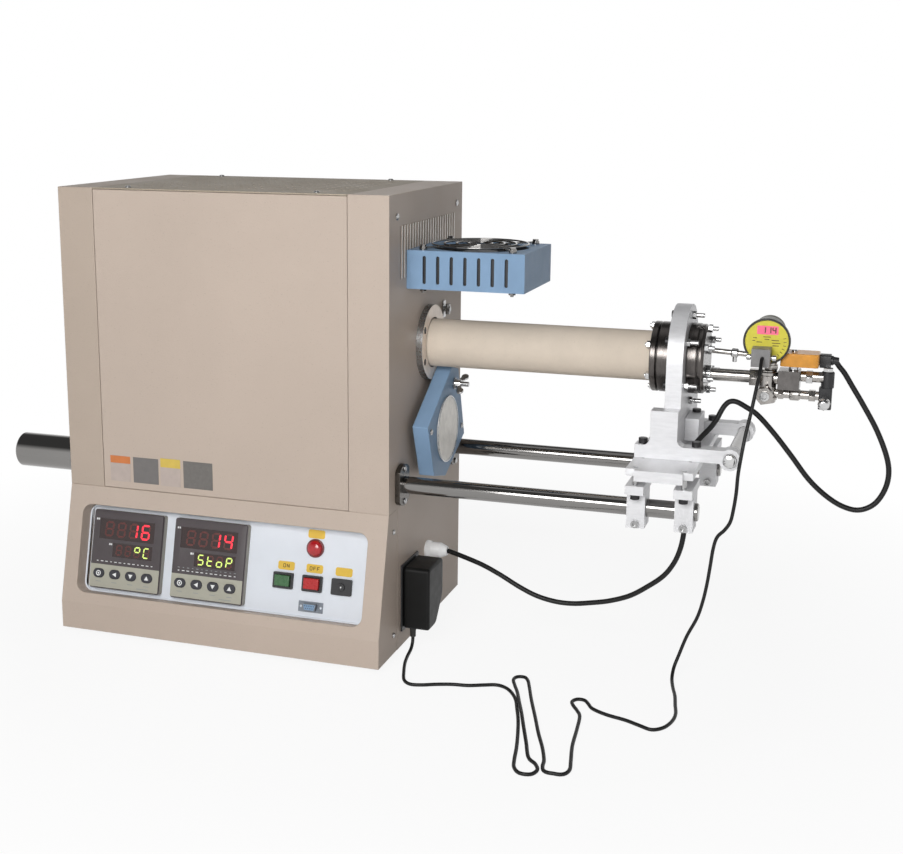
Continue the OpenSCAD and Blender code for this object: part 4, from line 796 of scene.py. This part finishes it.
KEY_SIGNS = {"set": [rounded(2.2, 2.2, 1.05)], "shift": [[(2.4, 2.8), (-2.8, 0), (2.4, -2.8)]],
             "down": [[(-2.9, 2.3), (0, -2.8), (2.9, 2.3)]],
             "up": [[(-2.9, -2.3), (2.9, -2.3), (0, 2.8)]]}
for side, left in (("left", BEZEL_X[0]), ("right", BEZEL_X[1])):
    for i, key in enumerate(("set", "shift", "down", "up")):
        node = side + "_key_" + key
        eased(node, KEY_BLACK, body=node, ease=0.5)
        sign = Piece(node + "_sign", node, PRINT_WHITE, slot="key_plastic")
        place = on_panel(left + KEY_X[i], KEY_V, KEY_TOP)
        for outline in KEY_SIGNS[key]:
            sign.slab(place, outline, 0.1)
        if key == "set":
            sign.turn(place, [(2.2, 0), (3.3, 0), (3.3, 0.1), (2.2, 0.1)], sides=24, loop=True)
        sign.done(ease=0)

eased("switch_bodies", BLACK, ease=0.4)
eased("green_button", BUTTON_GREEN, body="green_button", ease=0.9)
eased("red_button", BUTTON_RED, body="red_button", ease=0.9)
eased("lock_barrel", BLACK, body="lock_barrel", ease=0.3)
lock_dot = Piece("lock_dot", "lock_barrel", PRINT_WHITE, slot="lock_steel")
lock_dot.turn(on_panel(SWITCH_X[2], SWITCH_V, 5.1), [(1.0, 0), (1.0, 0.15), (0, 0.3)], sides=16)
lock_dot.done(ease=0)

lamp = Piece("alarm_lamp_lens", "cabinet", LAMP_RIM, LAMP_RED, slot="lamp_red")
lamp_place = on_panel(SWITCH_X[1], LAMP_V)
lamp.turn(lamp_place, [(7, -20), (7, 0.02), (11, 0.02), (11, 2.0), (10.2, 2.8), (9.2, 2.8),
                       (9.2, 2.4), (0, 2.4)], 0, 48)
lamp.turn(lamp_place, [(0, 1.5), (9.0, 1.5), (9.0, 3.4), (8.4, 4.8), (7.0, 6.0), (4.5, 6.8),
                       (0, 7.2)], 1, 48)
lamp.done(ease=0.2, stands_for=("alarm_lamp",))

labels = Piece("switch_labels", "cabinet", YELLOW, INK, slot="panel_paint")
for x, v in ((321, 31.5), (286, 72), (322, 72), (359, 72)):
    labels.slab(on_panel(x, v, 0), rounded(21, 10, 2.4, 5), 0.35, 0)


def stroke(x, v, x0, y0, x1, y1, width=0.8):
    """Printed stroke on the labels, between two points about the middle of one."""
    a, b = Vector((x0, y0)), Vector((x1, y1))
    side = (b - a).normalized() * width / 2
    side = Vector((-side.y, side.x))
    outline = [(p.x, p.y) for p in (a - side, b - side, b + side, a + side)]
    labels.slab(on_panel(x, v, 0.35), outline, 0.05, 1)


LETTERS = {"O": ((-1.3, -2, 1.3, -2), (1.3, -2, 1.3, 2), (1.3, 2, -1.3, 2), (-1.3, 2, -1.3, -2)),
           "N": ((-1.3, -2, -1.3, 2), (-1.3, 2, 1.3, -2), (1.3, -2, 1.3, 2)),
           "F": ((-1.3, -2, -1.3, 2), (-1.3, 2, 1.4, 2), (-1.3, 0.1, 1.0, 0.1))}
for word, x, v in (("ON", 286, 72), ("OFF", 322, 72)):
    for i, letter in enumerate(word):
        shift = (i - (len(word) - 1) / 2) * 4.6
        for x0, y0, x1, y1 in LETTERS[letter]:
            stroke(x, v, x0 + shift, y0, x1 + shift, y1)
labels.done(ease=0)

eased("serial_port", ZINC_DARK, ease=0.2)
port = Piece("serial_port_insert", "cabinet", BLUE, BLACK, slot="zinc")
port_place = on_panel(SWITCH_X[1], PORT_V, 6.0)
port.slab(port_place, [(-7.2, 3.1), (7.2, 3.1), (6.0, -3.1), (-6.0, -3.1)], 0.2)
for i in range(9):
    px, py = (-5.5 + 2.75 * i, 1.4) if i < 5 else (-4.1 + 2.75 * (i - 5), -1.4)
    port.rod(port_place @ Matrix.Translation((px, py, 0.15)), 1.2, 0.2, 1, 10, 0.05)
port.done(ease=0)

# ---------------------------------------------------------------- adapter on the side wall

adapter = Piece("power_adapter_case", "cabinet", GLOSS_BLACK, slot="gloss_black")


def adapter_outline():
    """Side of the adapter: upright front, drawn in below at the back."""
    points = []
    for cx, cz, r, a0, a1 in ((50, 71, 5, 0, 90), (5, 71, 5, 90, 180), (4, 4, 4, 180, 270),
                              (23, 13, 13, 270, 325), (33, 38, 22, 325, 360)):
        for i in range(7):
            a = math.radians(a0 + (a1 - a0) * i / 6)
            points.append((44 + cx + r * math.cos(a), 22 + cz + r * math.sin(a)))
    return points


across = Matrix.Translation(CORNER) @ UPRIGHT @ IN_MM
adapter.slab(across, adapter_outline(), 32.5, 0, 417)
adapter.done(ease=3.2, segments=4, angle=30, stands_for=("power_adapter",))
adapter_seat = Piece("adapter_seat", "cabinet", BLACK, RUBBER, slot="gloss_black")
adapter_seat.block((WALL_X + 0.05, 41, 19), (416.95, 102, 101))
adapter_seat.turn(facing(-Z, 427, 52, 23.5), [(4.5, 0), (4.5, 2), (3.6, 4), (3.4, 12.9),
                                              (2.1, 13)], 1, 24)
adapter_seat.done(ease=0.4)

# ---------------------------------------------------------------- shutter

SHUTTER_X, HANG = 423.5, math.radians(13.5)
DISC_Y, DISC_Z = TUBE_Y - 7.3, TUBE_Z - 103.5
hung = (Matrix.Translation(at(SHUTTER_X, DISC_Y, DISC_Z)) @ Matrix.Rotation(-HANG, 4, "X")
        @ UPRIGHT @ IN_MM)
shutter = Piece("shutter_board", "shutter", BLUE, slot="blue_paint")
shutter.slab(hung, [(-36, -57), (11, -57), (78, -4), (30, 75), (2, 75), (-76, -1)], 18.9)
shutter.done(ease=1.0, segments=3, stands_for=("shutter_plate",))
disc = Piece("shutter_face", "shutter", DISC_GREY, ZINC, slot="disc_board")
disc.turn(hung @ Matrix.Translation((0, 0, 18.95)), [(0, 0), (39, 0), (39, 1.2), (38.4, 1.8),
                                                     (0, 1.8)], 0, 72)
disc.turn(hung @ Matrix.Translation((0, 0, 20.8)), [(38.6, 0), (40.4, 0), (40.4, 0.5),
                                                    (38.6, 0.5)], 1, 72, loop=True)
tilt = math.radians(5)
for s in (-1, 1):
    disc.turn(hung @ Matrix.Translation((s * 62.5 * math.cos(tilt), s * 62.5 * math.sin(tilt),
                                         18.95)),
              [(3.6, 0), (3.6, 0.8), (2.4, 2.0), (0, 2.3)], 1, 24)
disc.done(ease=0.2, stands_for=("shutter_disc",))
eased("wing_nut", ZINC_BRIGHT, body="wing_nut", ease=0.8, segments=3)

# ---------------------------------------------------------------- carriage

eased("guide_rods", CHROME, body="carriage", ease=0.3)
eased("rod_clamps", ALUMINIUM, body="carriage", ease=0.8)
eased("carriage_plate", ALUMINIUM, body="carriage", ease=0.6)


def bolt_faces(middle, _):
    """Bright where a stud crosses the gap or a screw closes a clamp, dark heads."""
    z = local(middle).z
    return 1 if 233 < z < 243.6 or z < 195 else 0


eased("clamp_bolts", (DARK_STEEL, ZINC), body="carriage", ease=0.4,
      cuts=[(at(0, 0, 232.6), Z), (at(0, 0, 243.8), Z)], paint=bolt_faces)


def frame_faces(middle, _):
    """Dark heads of the two screws on top of each side frame."""
    p = local(middle)
    return 1 if p.z > 267.05 and (abs(p.x - 690) < 6 or abs(p.x - 748.5) < 6) else 0


eased("side_frames", (ALUMINIUM, DARK_STEEL), body="carriage", ease=0.7,
      paint=frame_faces)
eased("arch_plate", ALUMINIUM, body="carriage", ease=0.9, segments=3,
      drop=lambda p: p.x > 729)
arch_block = Piece("arch_rear_block", "carriage", ALUMINIUM, DARK_STEEL, slot="aluminium")
arch_block.block((728.55, 113.5, 262), (744.5, 161.5, 288))
arch_block.turn(facing(Z, 736.5, 151.5, 288), [(0, 0), (5, 0), (5, 4), (0, 4)], 1, 24)
arch_block.done(ease=0.7)
eased("handle_bar", CHROME, body="carriage", ease=0.5)
handle_end = Piece("handle_end", "carriage", ZINC_BRIGHT, slot="chrome")
handle_end.turn(facing(-Y, 786, 54.5, 257), [(7.2, 0), (7.2, 1.6), (6.4, 2.8), (3.6, 3.8),
                                             (0, 4.1)], 0, 32)
handle_end.done(ease=0)

flange = Piece("flange_body", "carriage", FLANGE_STEEL, STAINLESS, slot="stainless")
flange.turn(facing(X, 0, TUBE_Y, TUBE_Z), [
    (28.8, 687.5), (39.2, 687.5), (40, 688.3), (40, 693.7), (39.2, 694.5), (37, 694.6),
    (37, 695.4), (39.2, 695.5), (40, 696.3), (40, 710.4), (34, 710.45), (34, 728.6),
    (39.2, 728.6), (40, 729.4), (40, 739), (39, 739.6), (39.4, 740.2), (39.4, 744.6),
    (37, 747.5), (0, 747.5), (0, 705.6), (28.8, 705.6)], 0, 96, loop=True)
flange.done(ease=0.25, stands_for=("seal_flange",))
CLAMP_CIRCLE, PLATE_CIRCLE = 34.8, 49  # radius of each ring of bolts
studs = Piece("flange_bolts", "carriage", ZINC_BRIGHT, DARK_STEEL, slot="zinc")
for i in range(6):
    a = math.radians(30 + 60 * i)
    y, z = TUBE_Y + CLAMP_CIRCLE * math.cos(a), TUBE_Z + CLAMP_CIRCLE * math.sin(a)
    studs.slab(facing(X, 683.5, y, z, 10 * i), hexagon(8), 4)
    studs.rod(facing(X, 681.5, y, z), 5, 2.2)
    studs.slab(facing(X, 747.5, y, z, 14 * i), hexagon(8), 4.6)
    studs.rod(facing(X, 752, y, z), 5, 6.5)
    y, z = TUBE_Y + PLATE_CIRCLE * math.cos(a), TUBE_Z + PLATE_CIRCLE * math.sin(a)
    studs.turn(facing(-X, 710.5, y, z), [(4.25, 0), (4.25, 4.6), (3.8, 5), (2.2, 5), (2.2, 2.5),
                                         (0, 2.5)], 1, 24)
    studs.slab(facing(X, 728.5, y, z, 25 * i), hexagon(8), 4.6)
    studs.rod(facing(X, 733, y, z), 5, 9.5)
studs.done(ease=0.3, stands_for=("flange_studs",))
eased("work_tube", CERAMIC, body="carriage", ease=0.4)

# ---------------------------------------------------------------- vacuum end

COVER_X, PIPE_Z, BRANCH_Z = 747.5, 336, 319


def centred(axis, x, z):
    """Place on the upright plane through the tube's middle."""
    return facing(axis, x, TUBE_Y, z)


pipes = Piece("vacuum_pipes", "carriage", STAINLESS, BLACK, ZINC_BRIGHT, slot="stainless")
pipes.rod(centred(X, COVER_X, PIPE_Z), 14, 60)
pipes.rod(centred(X, COVER_X, PIPE_Z), 20, 5, 2)
pipes.slab(centred(X, 795, PIPE_Z), hexagon(18), 12)
pipes.turn(centred(Z, 815, 308), [(0, 0), (8.5, 0), (9.5, 1), (9.5, 3), (11, 3.6),
           (11, 7), (9.5, 7.6), (9.5, 31), (11, 31.6), (11, 35), (9.5, 35.6), (9.5, 37),
           (8.5, 38), (0, 38)], 0, 48)
pipes.turn(facing(-Y, 814, 131.5, 319.6), [(0, 0), (7, 0), (7, 10), (0, 10)], 0, 32)
pipes.slab(facing(-Y, 814, 121.5, 319.6, 12), hexagon(18), 10)
pipes.turn(facing(-Y, 814, 111.5, 319.6), [(5.5, 0), (5.5, 2), (3, 2), (3, 0.8), (0, 0.8)],
           2, 32)
pipes.rod(centred(Z, 818, 346), 12, 23)
pipes.slab(centred(Z, 818, 346.1), hexagon(14), 5)
pipes.rod(centred(X, 815, PIPE_Z), 14, 11.3)
gas_way = Vector((math.cos(math.radians(3)), 0, -math.sin(math.radians(3))))
pipes.rod(centred(gas_way, 748.5, 363.3), 6, 66)
pipes.rod(centred(gas_way, 773.5, 362), 10, 8, 2, edge=1.0)
pipes.rod(centred(X, COVER_X, 363.3), 10, 5, 2, edge=1.0)
pipes.rod(centred(-Z, 777.5, 359), 5, 7.5, 2)
pipes.rod(centred(X, 822, BRANCH_Z), 10, 50)
pipes.slab(centred(X, 827, BRANCH_Z), hexagon(11.5), 6)
pipes.turn(centred(X, 839, BRANCH_Z), [(0, 0), (6, 0), (7, 1.5), (7, 10), (5.4, 12), (0, 12)],
           0, 32)
pipes.slab(centred(X, 860, BRANCH_Z), hexagon(12), 7)
pipes.rod(centred(X, 849.9, 340), 12, 25, 0)
pipes.slab(centred(X, 856, 340), hexagon(13.5), 7, 2)
pipes.slab(centred(Z, 877.5, 305), rounded(13, 14, 2), 24, 1)
pipes.turn(centred(Z, 879, 329), [(0, 0), (7, 0), (7, 17), (6, 18), (0, 18)], 1, 32)
pipes.slab(centred(Z, 879, 347), hexagon(10), 4, 2)
pipes.rod(facing(-Y, 877.5, 130.6, 315), 8, 12, 0)
pipes.done(ease=0.35, stands_for=("vacuum_pipework",))

GAUGE_X, GAUGE_Z, DIAL_Y = 813.0, 380.0, 117.5
dial_place = facing(-Y, GAUGE_X, DIAL_Y, GAUGE_Z)
gauge = Piece("vacuum_gauge", "carriage", GAUGE_BLACK, GAUGE_YELLOW, OLIVE, CONNECTOR_GREY,
              ZINC_BRIGHT, slot="black_plastic")
gauge.turn(dial_place, [(0, -4.7), (24.6, -4.7), (25.5, -3.8), (25.5, 1.4), (24.9, 2.0),
                        (23.4, 2.0), (23.4, 0.3), (0, 0.3)], 0, 72)
gauge.turn(dial_place, [(0, 0.35), (23.3, 0.35), (23.3, 0.6), (0, 0.6)], 1, 72)
gauge.turn(facing(Y, GAUGE_X, 122.2, GAUGE_Z + 6.5), [
    (0, 0), (17.5, 0), (17.5, 24), (16.6, 25), (16.6, 26.5), (17.5, 27.5), (17.5, 33),
    (15, 35.3), (0, 35.3)], 2, 56)
gauge.block((799, 95.5, 354.5), (819, 117.4, 374.5), 3)
gauge.turn(centred(-Z, 818, 370), [(8, 0), (8, 5), (6.2, 6), (0, 6)], 4, 32)
for x, way in ((799, -X), (819, X)):
    gauge.turn(facing(way, x, 108.5, 363.5), [(2.4, 0), (2.4, 1.2), (3.5, 1.6), (3.5, 5.4),
                                              (2.8, 6), (0, 6)], 4, 24)
gauge.done(ease=0.5, stands_for=("gauge",))


def on_dial(x, y):
    """Place on the gauge's dial, from its middle."""
    return dial_place @ Matrix.Translation((x, y, 0.62))


face = Piece("gauge_display", "carriage", DISPLAY_PINK, INK, GAUGE_BLACK, slot="black_plastic")
face.slab(on_dial(0.5, 12.5), rounded(23, 9.5, 0.8), 0.25, 0)
w, h, t = 3.2, 6.4, 1.3
for cx, char in ((-4.2, "1"), (1.6, "1"), (7.0, "4")):
    for bar, (sx, sy, way) in BARS.items():
        if bar in LIT[char]:
            size = (w, t) if way == "h" else (t, h / 2)
            face.slab(on_dial(0.5 + cx + sx * w, 12.5 + sy * h / 2), rounded(*size, 0.3), 0.32, 1)
for x, y, w in ((0, 5.0, 8), (0, 2.4, 5), (-8, -1.0, 6), (9, 1.5, 8), (10, -1.5, 9),
                (9.5, -4.5, 7), (-13, 3.5, 4), (-14, 0.5, 3)):
    face.slab(on_dial(x, y), rounded(w, 0.8, 0.2), 0.12, 1)
for i in range(7):
    a = math.radians(-60 + 12 * i)
    face.slab(on_dial(19.5 * math.cos(a), 19.5 * math.sin(a)) @ Matrix.Rotation(a, 4, "Z"),
              rounded(3, 0.6, 0.15), 0.12, 1)
face.done(ease=0)

coil = Piece("valve_coil", "carriage", ORANGE, slot="coil_resin")
coil.slab(MM @ Matrix.Translation((848.5, TUBE_Y, 352)), rounded(41, 30, 3), 15, 0)
coil.done(ease=0.9, segments=3, stands_for=("solenoid_coil",))
valve = Piece("valve_body", "carriage", VALVE_STEEL, BLACK, ZINC_BRIGHT, slot="coil_resin")
valve.block((826.4, 124.5, 325.5), (849.6, 150.5, 346.5), 0)
valve.rod(centred(Z, 842, 346.4), 11, 5.7, 2)
valve.slab(facing(X, 869.1, 149, 356.75), [(y, x) for x, y in rounded(14.4, 15, 2)], 11.8, 1)
valve.turn(facing(X, 880.8, 149, 357.5), [(5.4, 0), (5.4, 2), (4.4, 3), (3.8, 8), (3.2, 8.4)],
           1, 24)
valve.turn(centred(Z, 842, 367), [(3.4, 0), (3.4, 1.6), (2.4, 2.4), (0, 2.4)], 2, 24)
valve.done(ease=0.6)

knob = Piece("needle_valve_knob", "needle_knob", ZINC_BRIGHT, STAINLESS, slot="black_plastic")
knob_place = centred(-Y, 877.5, 315)
knob.turn(knob_place, [(4.1, 14.5), (4.6, 14.5), (4.6, 15.5), (5.6, 15.5), (6, 16), (6, 28.6),
                       (5.5, 29.4), (4.2, 31), (3.2, 31.3), (0, 31.3), (0, 20), (4.1, 20)], 0,
          36, loop=True)
for i in range(12):
    a = math.radians(30 * i)
    knob.rod(knob_place @ Matrix.Translation((6 * math.cos(a), 6 * math.sin(a), 17)), 1.3, 11, 1,
             8, 0.2)
knob.done(ease=0.25, stands_for=("needle_knob",))
